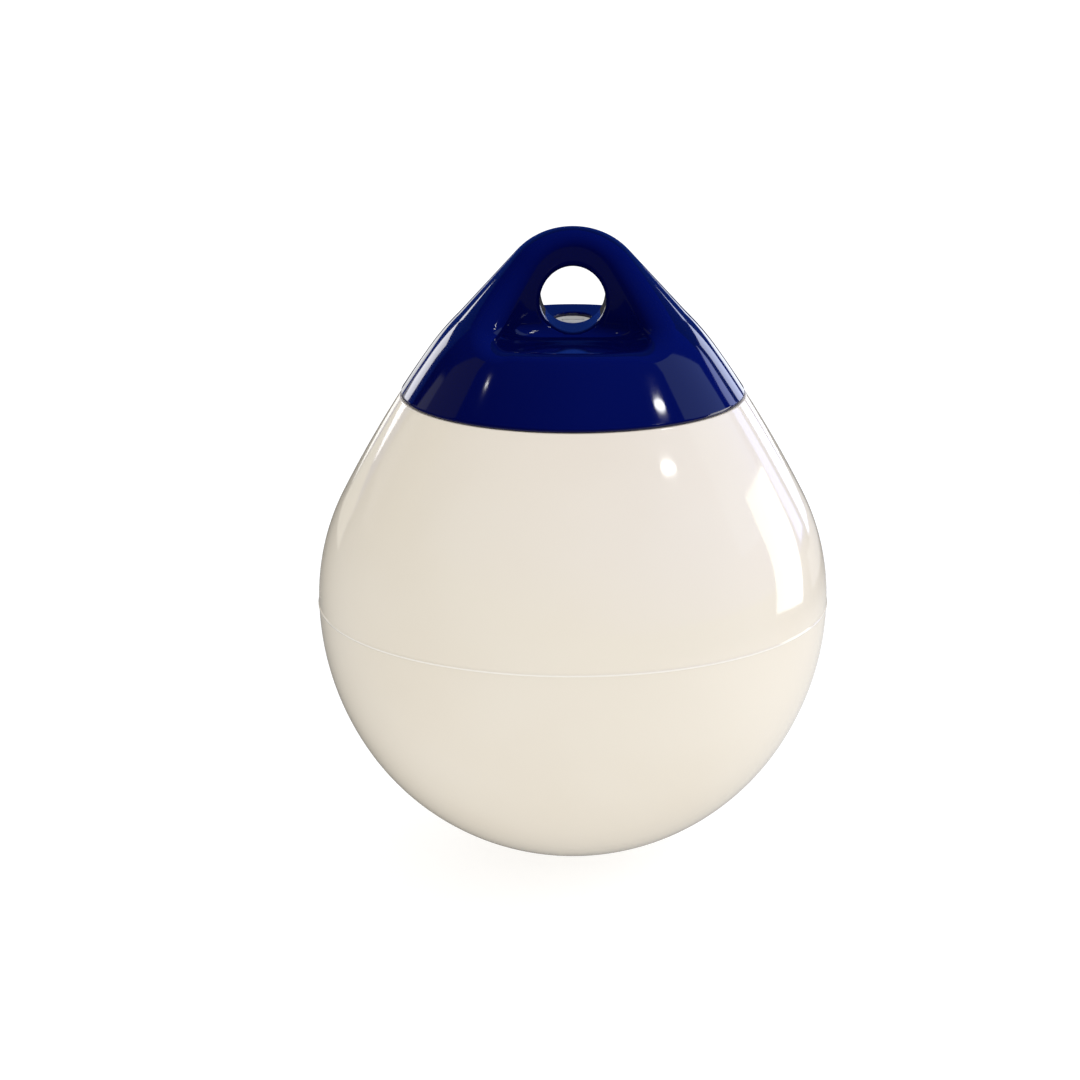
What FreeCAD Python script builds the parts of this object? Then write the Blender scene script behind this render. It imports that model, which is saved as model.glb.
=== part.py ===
import FreeCAD, Part
import math
import os

import Sketcher
from FreeCAD import Placement, Rotation, Vector

# Mooring buoy: an air-filled float blown in one piece from white vinyl, with a solid
# navy rope eye moulded onto its neck, and an air valve in the rear pocket of the eye.
#
# Heights are taken from the widest circle of the float while it is drawn. Each piece is
# then placed so that the middle of the rope hole is the origin, +Z is up and the hole
# runs along Y.

# Driving sizes, in millimetres and degrees
SIZES = (
    ("belly_radius", 140.0, "half the width of the float at its widest circle"),
    ("belly_depth", 145.8, "from the widest circle down to the keel"),
    ("keel_turn", 33.3, "how far round, below level, the side turns into the keel"),
    ("upper_side_radius", 125.0, "curve of the side above the widest circle"),
    ("shoulder_radius", 651.0, "curve of the long, nearly straight shoulder"),
    ("wall", 3.5, "thickness of the blown float"),
    ("seam_drop", 2.0, "how far the parting line lies below the widest circle"),
    ("seam_rise", 0.4, "how far the parting line stands out"),
    ("seam_width", 1.6, "width of the parting line"),
    ("rim_height", 113.4, "height of the lower rim of the rope eye"),
    ("rim_radius", 93.8, "half the width of the float at that rim"),
    ("rim_edge", 0.8, "rounding of the float where it steps in under the rim"),
    ("skirt_wall", 5.2, "thickness of the skirt of the eye at its rim"),
    ("neck_tilt", 35.0, "lean of the neck under the skirt, from upright"),
    ("neck_corner", 9.0, "rounding between the neck and its flat top"),
    ("skirt_proud", 0.7, "how far the skirt stands out from the float at its rim"),
    ("skirt_tilt", 32.8, "lean of the skirt at its rim, from upright"),
    ("skirt_radius", 651.6, "curve of the skirt"),
    ("skirt_rise", 24.6, "height of the skirt from its rim to the bend"),
    ("rim_rounding", 1.5, "rounding of the lower rim of the skirt"),
    ("bend_radius", 139.7, "curve where the skirt bends in to the eye"),
    ("bend_past", 2.5, "how much further than the flank this bend leans in"),
    ("waist_radius", 60.3, "hollow curve between that bend and the flank"),
    ("flank_tilt", 42.4, "lean of the straight flank of the eye, from upright"),
    ("crown_radius", 41.5, "round top of the eye"),
    ("eye_rise", 4.0, "how far the rope hole lies above the middle of that curve"),
    ("eye_radius", 17.5, "half the width of the rope hole"),
    ("eye_lip", 4.7, "rounding of the lips of the rope hole"),
    ("web", 24.0, "thickness of the eye where the rope hole goes through"),
    ("scoop_radius", 44.0, "curve of the scoops on both sides of the web"),
    ("floor_drop", 5.8, "from the rope hole down to where the scoop floors would meet"),
    ("floor_tilt", 5.0, "rise of each scoop floor away from the web"),
    ("floor_wall", 9.7, "thickness of the eye from that meeting down to the neck"),
    ("floor_corner", 10.0, "rounding between a scoop and its floor"),
    ("crease_rounding", 11.0, "rounding of the edges round each scoop"),
    ("valve_offset", 39.0, "distance of the air valve behind the middle of the eye"),
    ("seat_depth", 3.6, "depth of the valve's flat seat in the scoop floor"),
    ("flange_radius", 10.0, "half the width of the valve flange"),
    ("flange_thickness", 2.4, "thickness of the valve flange"),
    ("seat_clearance", 0.5, "gap round the valve flange in its seat"),
    ("sleeve_radius", 7.0, "half the width of the valve sleeve"),
    ("barb_radius", 8.4, "half the width of the barb that holds the valve"),
    ("barb_length", 5.0, "length of the barb under the neck"),
    ("barb_tip", 6.2, "half the width of the barb at its tip"),
    ("bore_radius", 4.0, "half the width of the air hole in the valve"),
    ("thread_gap", 0.1, "gap round the shank of the screw"),
    ("recess_radius", 6.3, "half the width of the recess for the screw head"),
    ("recess_depth", 1.4, "depth of that recess"),
    ("head_gap", 0.3, "gap round the head of the screw"),
    ("screw_reach", 13.0, "length of the screw under its head"),
    ("screw_tip", 1.0, "bevel at the tip of the screw"),
    ("slot_width", 1.5, "width of the slot in the screw"),
    ("slot_depth", 0.9, "depth of the slot in the screw"),
)
SIZE = {name: value for name, value, note in SIZES}

# Sizes that follow from those, so that every piece moves with them
CORNER_SHARE = "(1 - sin(keel_turn)) / cos(keel_turn)"
FOLLOWING = (
    (
        "lower_side_radius",
        "(belly_depth - belly_radius * %s) / (1 - %s)" % (CORNER_SHARE, CORNER_SHARE),
        "curve of the side below the widest circle",
    ),
    (
        "skirt_middle_past",
        "skirt_radius * cos(skirt_tilt) - rim_radius - skirt_proud",
        "how far past the axis the middle of the skirt's curve lies",
    ),
    ("skirt_middle_depth", "skirt_radius * sin(skirt_tilt) - rim_height", "depth of that middle"),
    ("bend_start", "rim_height + skirt_rise", "height where the skirt bends in to the eye"),
    ("bend_turn", "asin((bend_start + skirt_middle_depth) / skirt_radius) / 1 deg", "lean of the skirt there"),
    (
        "flank_reach",
        "(skirt_radius - bend_radius) * cos(flank_tilt - bend_turn)"
        " + (bend_radius + waist_radius) * cos(bend_past) - waist_radius"
        " - skirt_middle_past * cos(flank_tilt) - skirt_middle_depth * sin(flank_tilt)",
        "distance of the flank's line from the middle of the widest circle",
    ),
    ("crown_middle", "(flank_reach - crown_radius) / sin(flank_tilt)", "height of the middle of the crown's curve"),
    ("eye_height", "crown_middle + eye_rise", "height of the middle of the rope hole"),
    ("floor_height", "eye_height - eye_radius - floor_drop", "height where the scoop floors would meet"),
    ("deck_height", "floor_height - floor_wall", "height of the flat top of the neck"),
    (
        "valve_seat",
        "floor_height + valve_offset * tan(floor_tilt) - seat_depth",
        "height of the flat seat of the valve",
    ),
)

# Ends of a piece of an outline, and the outline's own axes
START, END, CENTRE = range(1, 4)
ACROSS_AXIS, UP_AXIS = range(-1, -3, -1)
ORIGIN = (ACROSS_AXIS, START)

# The two sides of the web
SIDES = ((-1, "front"), (1, "rear"))

# How near a point has to be to count as on a surface, and what a cut has to take away
ON_SURFACE = 0.01
LEAST_CUT = 1.0


def make_sheet(doc):
    """Write the sizes into a sheet, one named cell each, and work out those that follow."""
    sheet = doc.addObject("Spreadsheet::Sheet", "Sizes")
    for row, (name, entry, note) in enumerate(SIZES + FOLLOWING, start=1):
        sheet.set("A%d" % row, name)
        sheet.set("B%d" % row, "=" + entry if isinstance(entry, str) else str(entry))
        sheet.set("C%d" % row, note)
        sheet.setAlias("B%d" % row, name)
    doc.recompute()
    for name, formula, note in FOLLOWING:
        SIZE[name] = float(sheet.get(name))


def along(centre, radius, tilt):
    """The point of a circle where its outward direction is tilted up by an angle."""
    return centre[0] + radius * math.cos(tilt), centre[1] + radius * math.sin(tilt)


def tilt_at(centre, radius, height):
    """The tilt of a circle at a height."""
    return math.asin((height - centre[1]) / radius)


def across_at(centre, radius, height):
    """The distance from the axis of a circle at a height."""
    return along(centre, radius, tilt_at(centre, radius, height))[0]


class Outline:
    """A half outline, drawn across and up, with every size bound to the sheet."""

    def __init__(self, body, name, plane="XZ_Plane"):
        self.sketch = body.newObject("Sketcher::SketchObject", name)
        self.sketch.AttachmentSupport = [(origin_plane(body, plane), "")]
        self.sketch.MapMode = "FlatFace"

    def line(self, start, end):
        """Draw a straight line and return its number."""
        return self.sketch.addGeometry(Part.LineSegment(Vector(*start), Vector(*end)), False)

    def arc(self, centre, radius, first, last, guide=False):
        """Draw an arc, anticlockwise between two angles, and return its number."""
        circle = Part.Circle(Vector(*centre), Vector(0, 0, 1), radius)
        return self.sketch.addGeometry(Part.ArcOfCircle(circle, first, last), guide)

    def circle(self, centre, radius):
        """Draw a whole circle and return its number."""
        shape = Part.Circle(Vector(*centre), Vector(0, 0, 1), radius)
        return self.sketch.addGeometry(shape, False)

    def mark(self, place):
        """Draw a guide point and return its number."""
        return self.sketch.addGeometry(Part.Point(Vector(*place)), True)

    def rule(self, *words):
        """Add a geometric rule, such as a shared or tangent end."""
        self.sketch.addConstraint(Sketcher.Constraint(*words))

    def size(self, name, formula, *words):
        """Add a size and bind it to a formula of the sheet's cells."""
        value = float(self.sketch.evalExpression(formula))
        if words[0] == "Angle":
            value = math.radians(value)
        number = self.sketch.addConstraint(Sketcher.Constraint(*words, value))
        self.sketch.renameConstraint(number, name)
        self.sketch.setExpression("Constraints." + name, formula)

    def meet(self, first, first_end, second, second_end):
        """Join two ends in a corner."""
        self.rule("Coincident", first, first_end, second, second_end)

    def blend(self, first, first_end, second, second_end):
        """Join two ends smoothly."""
        self.rule("Tangent", first, first_end, second, second_end)

    def radius(self, name, formula, curve):
        """Size the radius of an arc or circle."""
        self.size(name, formula, "Radius", curve)

    def above(self, name, formula, item, end):
        """Size how far a point lies above the origin."""
        self.size(name, formula, "DistanceY", *ORIGIN, item, end)

    def below(self, name, formula, item, end):
        """Size how far a point lies below the origin."""
        self.size(name, formula, "DistanceY", item, end, *ORIGIN)

    def across(self, name, formula, item, end):
        """Size how far a point lies across from the origin."""
        self.size(name, formula, "DistanceX", *ORIGIN, item, end)

    def corners(self, formulas):
        """Draw a closed outline of straight lines, each corner by two formulas."""
        places = [tuple(float(self.sketch.evalExpression(text)) for text in pair) for pair in formulas]
        lines = [self.line(place, places[(turn + 1) % len(places)]) for turn, place in enumerate(places)]
        for turn, (across, above) in enumerate(formulas):
            self.meet(lines[turn - 1], END, lines[turn], START)
            self.across("across_%d" % turn, across, lines[turn], START)
            self.above("above_%d" % turn, above, lines[turn], START)

    def solve(self):
        """Set the sizes going and fail if they can't be met together."""
        if self.sketch.solve() != 0:
            raise ValueError("outline " + self.sketch.Name + " can't be solved")
        return self.sketch


def origin_plane(body, role):
    """One of the three planes of a body's own origin."""
    return next(item for item in body.Origin.OriginFeatures if item.Role == role)


def new_body(doc, name):
    """A piece that is placed with the middle of the rope hole at the origin."""
    body = doc.addObject("PartDesign::Body", name)
    body.Label = name
    body.setExpression("Placement.Base.z", "-Sizes.eye_height")
    return body


def spin(body, sketch, name):
    """Turn a half outline all the way round the upright axis."""
    feature = body.newObject("PartDesign::Revolution", name)
    feature.Profile = sketch
    feature.ReferenceAxis = (sketch, ["V_Axis"])
    feature.Angle = 360.0
    body.Document.recompute()
    return feature


def level_sketch(body, name, height_formula):
    """A sketch on a level plane at a height above the widest circle."""
    outline = Outline(body, name, "XY_Plane")
    outline.sketch.setExpression("AttachmentOffset.Base.z", height_formula)
    return outline


def pocket(body, sketch, name, length_formula, upwards=False, both_ways=False):
    """Cut a sketch away, straight up or down or along its own facing, and fail if nothing was cut."""
    before = body.Tip.Shape.Volume
    feature = body.newObject("PartDesign::Pocket", name)
    feature.Profile = sketch
    feature.Type = "Length"
    feature.setExpression("Length", length_formula)
    if both_ways:
        feature.SideType = "Symmetric"
    else:
        feature.UseCustomVector = True
        feature.Direction = Vector(0, 0, 1 if upwards else -1)
    body.Document.recompute()
    if before - feature.Shape.Volume < LEAST_CUT:
        raise ValueError(name + " cuts nothing")
    return feature


def round_edges(body, name, formula, wanted):
    """Round those edges of the body as it stands that a test picks."""
    base = body.Tip
    edges = ["Edge%d" % number for number, edge in enumerate(base.Shape.Edges, start=1) if wanted(edge)]
    if not edges:
        raise ValueError(name + " has no edge to round")
    feature = body.newObject("PartDesign::Fillet", name)
    feature.Base = (base, edges)
    feature.setExpression("Radius", formula)
    body.Document.recompute()
    return feature


def samples(edge):
    """Three points along an edge."""
    first, last = edge.ParameterRange
    return [edge.valueAt(first + (last - first) * share) for share in (0.2, 0.5, 0.8)]


def side_centre():
    """The middle of the curve of the side above the widest circle."""
    return SIZE["belly_radius"] - SIZE["upper_side_radius"], 0.0


def shoulder_centre():
    """The middle of the shoulder's curve, which leaves the side smoothly and ends at the rim."""
    side, long = side_centre(), SIZE["shoulder_radius"]
    step = long - SIZE["upper_side_radius"]
    across, up = SIZE["rim_radius"] - side[0], SIZE["rim_height"] - side[1]
    apart = math.hypot(across, up)
    back = (step ** 2 - long ** 2 + apart ** 2) / (2 * apart)
    aside = math.sqrt(step ** 2 - back ** 2)
    return side[0] + (back * across - aside * up) / apart, side[1] + (back * up + aside * across) / apart


def shoulder_turn():
    """The tilt where the side turns into the shoulder."""
    side, middle = side_centre(), shoulder_centre()
    return math.atan2(side[1] - middle[1], side[0] - middle[0])


def neck_points():
    """The foot of the neck and the middle of its upper corner."""
    foot = (SIZE["rim_radius"] - SIZE["skirt_wall"], SIZE["rim_height"])
    lean = math.radians(SIZE["neck_tilt"])
    facing = foot[0] * math.cos(lean) + foot[1] * math.sin(lean)
    corner_height = SIZE["deck_height"] - SIZE["neck_corner"]
    reach = facing - SIZE["neck_corner"] - math.sin(lean) * corner_height
    return foot, (reach / math.cos(lean), corner_height)


def edge_centre(centre, radius, rounding, height, upwards):
    """The middle of a small rounding between a curve and a level face."""
    level = height + rounding if upwards else height - rounding
    return across_at(centre, radius - rounding, level), level


def draw_neck(outline):
    """Draw the neck line, its corner and half its flat top, from the foot inwards."""
    foot, corner = neck_points()
    lean = math.radians(SIZE["neck_tilt"])
    neck = outline.line(foot, along(corner, SIZE["neck_corner"], lean))
    bend = outline.arc(corner, SIZE["neck_corner"], lean, math.pi / 2)
    deck = outline.line((corner[0], SIZE["deck_height"]), (0.0, SIZE["deck_height"]))
    outline.above("neck_foot_height", "Sizes.rim_height", neck, START)
    outline.across("neck_foot_radius", "Sizes.rim_radius - Sizes.skirt_wall", neck, START)
    outline.size("neck_lean", "90 + Sizes.neck_tilt", "Angle", neck)
    outline.radius("neck_corner", "Sizes.neck_corner", bend)
    outline.blend(neck, END, bend, START)
    outline.blend(bend, END, deck, START)
    outline.rule("Horizontal", deck)
    outline.rule("PointOnObject", deck, END, UP_AXIS)
    outline.above("deck_height", "Sizes.deck_height", deck, END)
    return neck, bend, deck


def make_body_shell(doc):
    """The blown float: one hollow wall, with a narrower neck that the eye sits on."""
    body = new_body(doc, "body_shell")
    outline = Outline(body, "float_section")
    wall = SIZE["wall"]
    low, high = SIZE["lower_side_radius"], SIZE["upper_side_radius"]
    long = SIZE["shoulder_radius"]
    low_centre = (SIZE["belly_radius"] - low, 0.0)
    keel_turn = math.radians(-SIZE["keel_turn"])
    keel_centre = (0.0, -low_centre[0] * math.tan(keel_turn))
    keel = SIZE["belly_depth"] + keel_centre[1]
    edge = SIZE["rim_edge"]
    rim = edge_centre(shoulder_centre(), long, edge, SIZE["rim_height"], upwards=False)
    rim_turn = tilt_at(shoulder_centre(), long - edge, rim[1])

    # The outside, from the keel up to the ledge under the rim
    keel_arc = outline.arc(keel_centre, keel, -math.pi / 2, keel_turn)
    low_arc = outline.arc(low_centre, low, keel_turn, 0.0)
    side_arc = outline.arc(side_centre(), high, 0.0, shoulder_turn())
    shoulder = outline.arc(shoulder_centre(), long, shoulder_turn(), rim_turn)
    rim_arc = outline.arc(rim, edge, rim_turn, math.pi / 2)
    foot, corner = neck_points()
    ledge = outline.line((rim[0], SIZE["rim_height"]), foot)
    outline.rule("PointOnObject", keel_arc, CENTRE, UP_AXIS)
    outline.rule("PointOnObject", keel_arc, START, UP_AXIS)
    outline.below("belly_depth", "Sizes.belly_depth", keel_arc, START)
    outline.blend(keel_arc, END, low_arc, START)
    outline.radius("lower_side_radius", "Sizes.lower_side_radius", low_arc)
    outline.rule("PointOnObject", low_arc, CENTRE, ACROSS_AXIS)
    outline.rule("PointOnObject", low_arc, END, ACROSS_AXIS)
    outline.across("belly_radius", "Sizes.belly_radius", low_arc, END)
    outline.meet(low_arc, END, side_arc, START)
    outline.rule("PointOnObject", side_arc, CENTRE, ACROSS_AXIS)
    outline.radius("upper_side_radius", "Sizes.upper_side_radius", side_arc)
    outline.blend(side_arc, END, shoulder, START)
    outline.radius("shoulder_radius", "Sizes.shoulder_radius", shoulder)
    rim_mark = outline.mark((SIZE["rim_radius"], SIZE["rim_height"]))
    outline.across("rim_radius", "Sizes.rim_radius", rim_mark, START)
    outline.above("rim_height", "Sizes.rim_height", rim_mark, START)
    outline.rule("PointOnObject", rim_mark, START, shoulder)
    outline.blend(shoulder, END, rim_arc, START)
    outline.radius("rim_edge", "Sizes.rim_edge", rim_arc)
    outline.blend(rim_arc, END, ledge, START)
    outline.rule("Horizontal", ledge)
    neck, neck_bend, deck = draw_neck(outline)
    outline.meet(ledge, END, neck, START)

    # The inside, a wall's thickness in, back down to the keel
    lean = math.radians(SIZE["neck_tilt"])
    small = SIZE["neck_corner"] - wall
    facing = foot[0] * math.cos(lean) + foot[1] * math.sin(lean) - wall
    step_height = SIZE["rim_height"] - wall
    inner_foot = ((facing - math.sin(lean) * step_height) / math.cos(lean), step_height)
    inner_rim = along(shoulder_centre(), long - wall, tilt_at(shoulder_centre(), long - wall, step_height))
    top = outline.line((0.0, SIZE["deck_height"]), (0.0, SIZE["deck_height"] - wall))
    ceiling = outline.line((0.0, SIZE["deck_height"] - wall), (corner[0], SIZE["deck_height"] - wall))
    inner_bend = outline.arc(corner, small, lean, math.pi / 2)
    inner_neck = outline.line(along(corner, small, lean), inner_foot)
    step = outline.line(inner_foot, inner_rim)
    inner_shoulder = outline.arc(
        shoulder_centre(), long - wall, shoulder_turn(), tilt_at(shoulder_centre(), long - wall, step_height)
    )
    inner_side = outline.arc(side_centre(), high - wall, 0.0, shoulder_turn())
    inner_low = outline.arc(low_centre, low - wall, keel_turn, 0.0)
    inner_keel = outline.arc(keel_centre, keel - wall, -math.pi / 2, keel_turn)
    bottom = outline.line((0.0, wall - SIZE["belly_depth"]), (0.0, -SIZE["belly_depth"]))
    outline.meet(deck, END, top, START)
    outline.rule("Vertical", top)
    outline.size("top_wall", "Sizes.wall", "DistanceY", top, END, top, START)
    outline.meet(top, END, ceiling, START)
    outline.rule("Horizontal", ceiling)
    outline.blend(ceiling, END, inner_bend, END)
    outline.meet(inner_bend, CENTRE, neck_bend, CENTRE)
    outline.blend(inner_bend, START, inner_neck, START)
    outline.rule("Parallel", inner_neck, neck)
    outline.meet(inner_neck, END, step, START)
    outline.rule("Horizontal", step)
    outline.above("step_height", "Sizes.rim_height - Sizes.wall", step, START)
    outline.meet(step, END, inner_shoulder, END)
    outline.meet(inner_shoulder, CENTRE, shoulder, CENTRE)
    outline.radius("inner_shoulder", "Sizes.shoulder_radius - Sizes.wall", inner_shoulder)
    outline.blend(inner_shoulder, START, inner_side, END)
    outline.meet(inner_side, CENTRE, side_arc, CENTRE)
    outline.rule("PointOnObject", inner_side, START, ACROSS_AXIS)
    outline.meet(inner_side, START, inner_low, END)
    outline.meet(inner_low, CENTRE, low_arc, CENTRE)
    outline.blend(inner_low, START, inner_keel, END)
    outline.rule("PointOnObject", inner_keel, START, UP_AXIS)
    outline.rule("PointOnObject", inner_keel, CENTRE, UP_AXIS)
    outline.meet(inner_keel, START, bottom, START)
    outline.meet(bottom, END, keel_arc, START)
    spin(body, outline.solve(), "float")
    add_seam(body)
    passage = ("Sizes.deck_height", "Sizes.sleeve_radius", "Sizes.wall")
    cut_valve_ring(body, "valve_passage", *passage, upwards=False)
    return body


def add_seam(body):
    """The fine raised line that the two halves of the mould leave round the float."""
    outline = Outline(body, "parting_line_section")
    inside, foot = "Sizes.belly_radius - Sizes.wall / 2", "Sizes.belly_radius - Sizes.wall / 8"
    top = "Sizes.belly_radius + Sizes.seam_rise"
    outline.corners((
        (inside, "-Sizes.seam_drop - Sizes.seam_width / 2"),
        (foot, "-Sizes.seam_drop - Sizes.seam_width / 2"),
        (top, "-Sizes.seam_drop - Sizes.seam_width / 4"),
        (top, "-Sizes.seam_drop + Sizes.seam_width / 4"),
        (foot, "-Sizes.seam_drop + Sizes.seam_width / 2"),
        (inside, "-Sizes.seam_drop + Sizes.seam_width / 2"),
    ))
    spin(body, outline.solve(), "parting_line")


def make_rope_eye(doc):
    """The solid eye: a skirt over the neck, a web with the rope hole, a scoop on each side."""
    body = new_body(doc, "rope_eye")
    blank = spin(body, draw_eye(body), "blank")
    for side, where in SIDES:
        cut_scoop(body, side, where)
    for side, where in SIDES:
        round_edges(body, where + "_floor_corner", "Sizes.floor_corner", on_floor_corner(side))
        round_edges(body, where + "_creases", "Sizes.crease_rounding", new_on(blank.Shape, side))
    cut_rope_hole(body)
    round_edges(body, "rope_hole_lips", "Sizes.eye_lip", on_rope_hole)
    seat = "Sizes.flange_radius + Sizes.seat_clearance"
    cut_valve_ring(body, "valve_seat", "Sizes.valve_seat", seat, "Sizes.eye_height - Sizes.valve_seat")
    depth = "Sizes.valve_seat - Sizes.deck_height + Sizes.flange_thickness"
    cut_valve_ring(body, "valve_passage", "Sizes.deck_height", "Sizes.sleeve_radius", depth)
    return body


def draw_eye(body):
    """The outside of the eye and the socket under it, as one half outline."""
    outline = Outline(body, "eye_section")
    skirt, skirt_centre = SIZE["skirt_radius"], (-SIZE["skirt_middle_past"], -SIZE["skirt_middle_depth"])
    rim = edge_centre(skirt_centre, skirt, SIZE["rim_rounding"], SIZE["rim_height"], upwards=True)
    rim_turn = tilt_at(skirt_centre, skirt - SIZE["rim_rounding"], rim[1])
    bend_turn = math.radians(SIZE["bend_turn"])
    bend_centre = along(skirt_centre, skirt - SIZE["bend_radius"], bend_turn)
    flank = math.radians(SIZE["flank_tilt"])
    waist_turn = flank + math.radians(SIZE["bend_past"])
    waist_centre = along(bend_centre, SIZE["bend_radius"] + SIZE["waist_radius"], waist_turn)
    flank_foot = along(waist_centre, -SIZE["waist_radius"], flank)
    crown_centre = (0.0, SIZE["crown_middle"])

    # The outside, from the rim up to the crown
    rim_arc = outline.arc(rim, SIZE["rim_rounding"], -math.pi / 2, rim_turn)
    skirt_arc = outline.arc(skirt_centre, skirt, rim_turn, bend_turn)
    bend_arc = outline.arc(bend_centre, SIZE["bend_radius"], bend_turn, waist_turn)
    waist_arc = outline.arc(waist_centre, SIZE["waist_radius"], math.pi + flank, math.pi + waist_turn)
    flank_line = outline.line(flank_foot, along(crown_centre, SIZE["crown_radius"], flank))
    crown_arc = outline.arc(crown_centre, SIZE["crown_radius"], flank, math.pi / 2)
    outline.radius("rim_rounding", "Sizes.rim_rounding", rim_arc)
    outline.blend(rim_arc, END, skirt_arc, START)
    outline.size("skirt_middle_past", "Sizes.skirt_middle_past", "DistanceX", skirt_arc, CENTRE, *ORIGIN)
    outline.below("skirt_middle_depth", "Sizes.skirt_middle_depth", skirt_arc, CENTRE)
    outline.radius("skirt_radius", "Sizes.skirt_radius", skirt_arc)
    outline.above("bend_start", "Sizes.bend_start", skirt_arc, END)
    outline.blend(skirt_arc, END, bend_arc, START)
    outline.radius("bend_radius", "Sizes.bend_radius", bend_arc)
    outline.blend(bend_arc, END, waist_arc, END)
    outline.radius("waist_radius", "Sizes.waist_radius", waist_arc)
    outline.blend(waist_arc, START, flank_line, START)
    outline.size("flank_lean", "90 + Sizes.flank_tilt", "Angle", flank_line)
    outline.blend(flank_line, END, crown_arc, START)
    outline.radius("crown_radius", "Sizes.crown_radius", crown_arc)
    outline.rule("PointOnObject", crown_arc, CENTRE, UP_AXIS)
    outline.rule("PointOnObject", crown_arc, END, UP_AXIS)

    # The socket under the eye, which fits the neck face to face
    neck, neck_bend, deck = draw_neck(outline)
    underside = outline.line(neck_points()[0], (rim[0], SIZE["rim_height"]))
    middle = outline.line((0.0, SIZE["deck_height"]), (0.0, crown_centre[1] + SIZE["crown_radius"]))
    outline.meet(underside, START, neck, START)
    outline.blend(underside, END, rim_arc, START)
    outline.rule("Horizontal", underside)
    outline.meet(deck, END, middle, START)
    outline.meet(middle, END, crown_arc, END)
    return outline.solve()


def scoop_middle():
    """How far the middle of a scoop lies from the axis, along its leaning floor."""
    lean = math.radians(SIZE["floor_tilt"])
    return SIZE["web"] / 2 / math.cos(lean) + SIZE["scoop_radius"]


def cut_scoop(body, side, where):
    """Cut the upright scoop on one side, down to its leaning floor."""
    outline = level_sketch(body, where + "_scoop_floor", "Sizes.floor_height")
    turn = Rotation(Vector(side, 0, 0), SIZE["floor_tilt"])
    outline.sketch.AttachmentOffset = Placement(Vector(0, 0, SIZE["floor_height"]), turn)
    outline.sketch.setExpression("AttachmentOffset.Rotation.Angle", "Sizes.floor_tilt")
    ring = outline.circle((0.0, side * scoop_middle()), SIZE["scoop_radius"])
    outline.radius("scoop_radius", "Sizes.scoop_radius", ring)
    outline.rule("PointOnObject", ring, CENTRE, UP_AXIS)
    place = "Sizes.web / 2 / cos(Sizes.floor_tilt) + Sizes.scoop_radius"
    if side > 0:
        outline.above("scoop_middle", place, ring, CENTRE)
    else:
        outline.below("scoop_middle", place, ring, CENTRE)
    reach = "Sizes.eye_height - Sizes.floor_height + 2 * Sizes.crown_radius"
    pocket(body, outline.solve(), where + "_scoop", reach, upwards=True)


def on_floor_corner(side):
    """A test for the edge between the wall and the floor of one scoop."""
    lean = math.radians(SIZE["floor_tilt"])

    def wanted(edge):
        for point in samples(edge):
            out = point.y * side
            from_floor = point.z - SIZE["floor_height"] - out * math.tan(lean)
            from_wall = math.hypot(point.x, out / math.cos(lean) - scoop_middle()) - SIZE["scoop_radius"]
            if out < 0 or max(abs(from_floor), abs(from_wall)) > ON_SURFACE:
                return False
        return True

    return wanted


def new_on(blank, side):
    """A test for edges on one side that lie on the faces of the blank and aren't edges of it."""
    faces = Part.makeCompound(blank.Faces)
    old_edges = Part.makeCompound(blank.Edges)

    def wanted(edge):
        dots = [Part.Vertex(point) for point in samples(edge)]
        on_side = all(dot.Point.y * side > 0 for dot in dots)
        on_faces = on_side and all(dot.distToShape(faces)[0] < ON_SURFACE for dot in dots)
        return on_faces and any(dot.distToShape(old_edges)[0] > ON_SURFACE for dot in dots)

    return wanted


def cut_rope_hole(body):
    """Cut the round rope hole through the web."""
    outline = Outline(body, "rope_hole")
    ring = outline.circle((0.0, SIZE["eye_height"]), SIZE["eye_radius"])
    outline.radius("eye_radius", "Sizes.eye_radius", ring)
    outline.rule("PointOnObject", ring, CENTRE, UP_AXIS)
    outline.above("eye_height", "Sizes.eye_height", ring, CENTRE)
    pocket(body, outline.solve(), "rope_hole_cut", "Sizes.web + 2 * Sizes.scoop_radius", both_ways=True)


def on_rope_hole(edge):
    """Whether an edge is one of the two lips of the rope hole."""
    points = samples(edge)
    around = [math.hypot(point.x, point.z - SIZE["eye_height"]) - SIZE["eye_radius"] for point in points]
    straight = (points[0] - points[2]).normalize().y
    return max(abs(gap) for gap in around) < ON_SURFACE and abs(straight) < 1 - ON_SURFACE


def cut_valve_ring(body, name, height, radius, length, upwards=True):
    """Cut a round hole about the axis of the valve, from a height."""
    outline = level_sketch(body, name, height)
    ring = outline.circle((0.0, SIZE["valve_offset"]), SIZE["sleeve_radius"])
    outline.radius("ring_radius", radius, ring)
    outline.rule("PointOnObject", ring, CENTRE, UP_AXIS)
    outline.above("valve_offset", "Sizes.valve_offset", ring, CENTRE)
    pocket(body, outline.solve(), name + "_cut", length, upwards=upwards)


def turned_piece(doc, name, formulas):
    """A small round piece of the valve, turned from a straight-sided outline."""
    body = new_body(doc, name)
    body.setExpression("Placement.Base.y", "Sizes.valve_offset")
    outline = Outline(body, name + "_section")
    outline.corners(formulas)
    spin(body, outline.solve(), name + "_turned")
    return body


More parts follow.
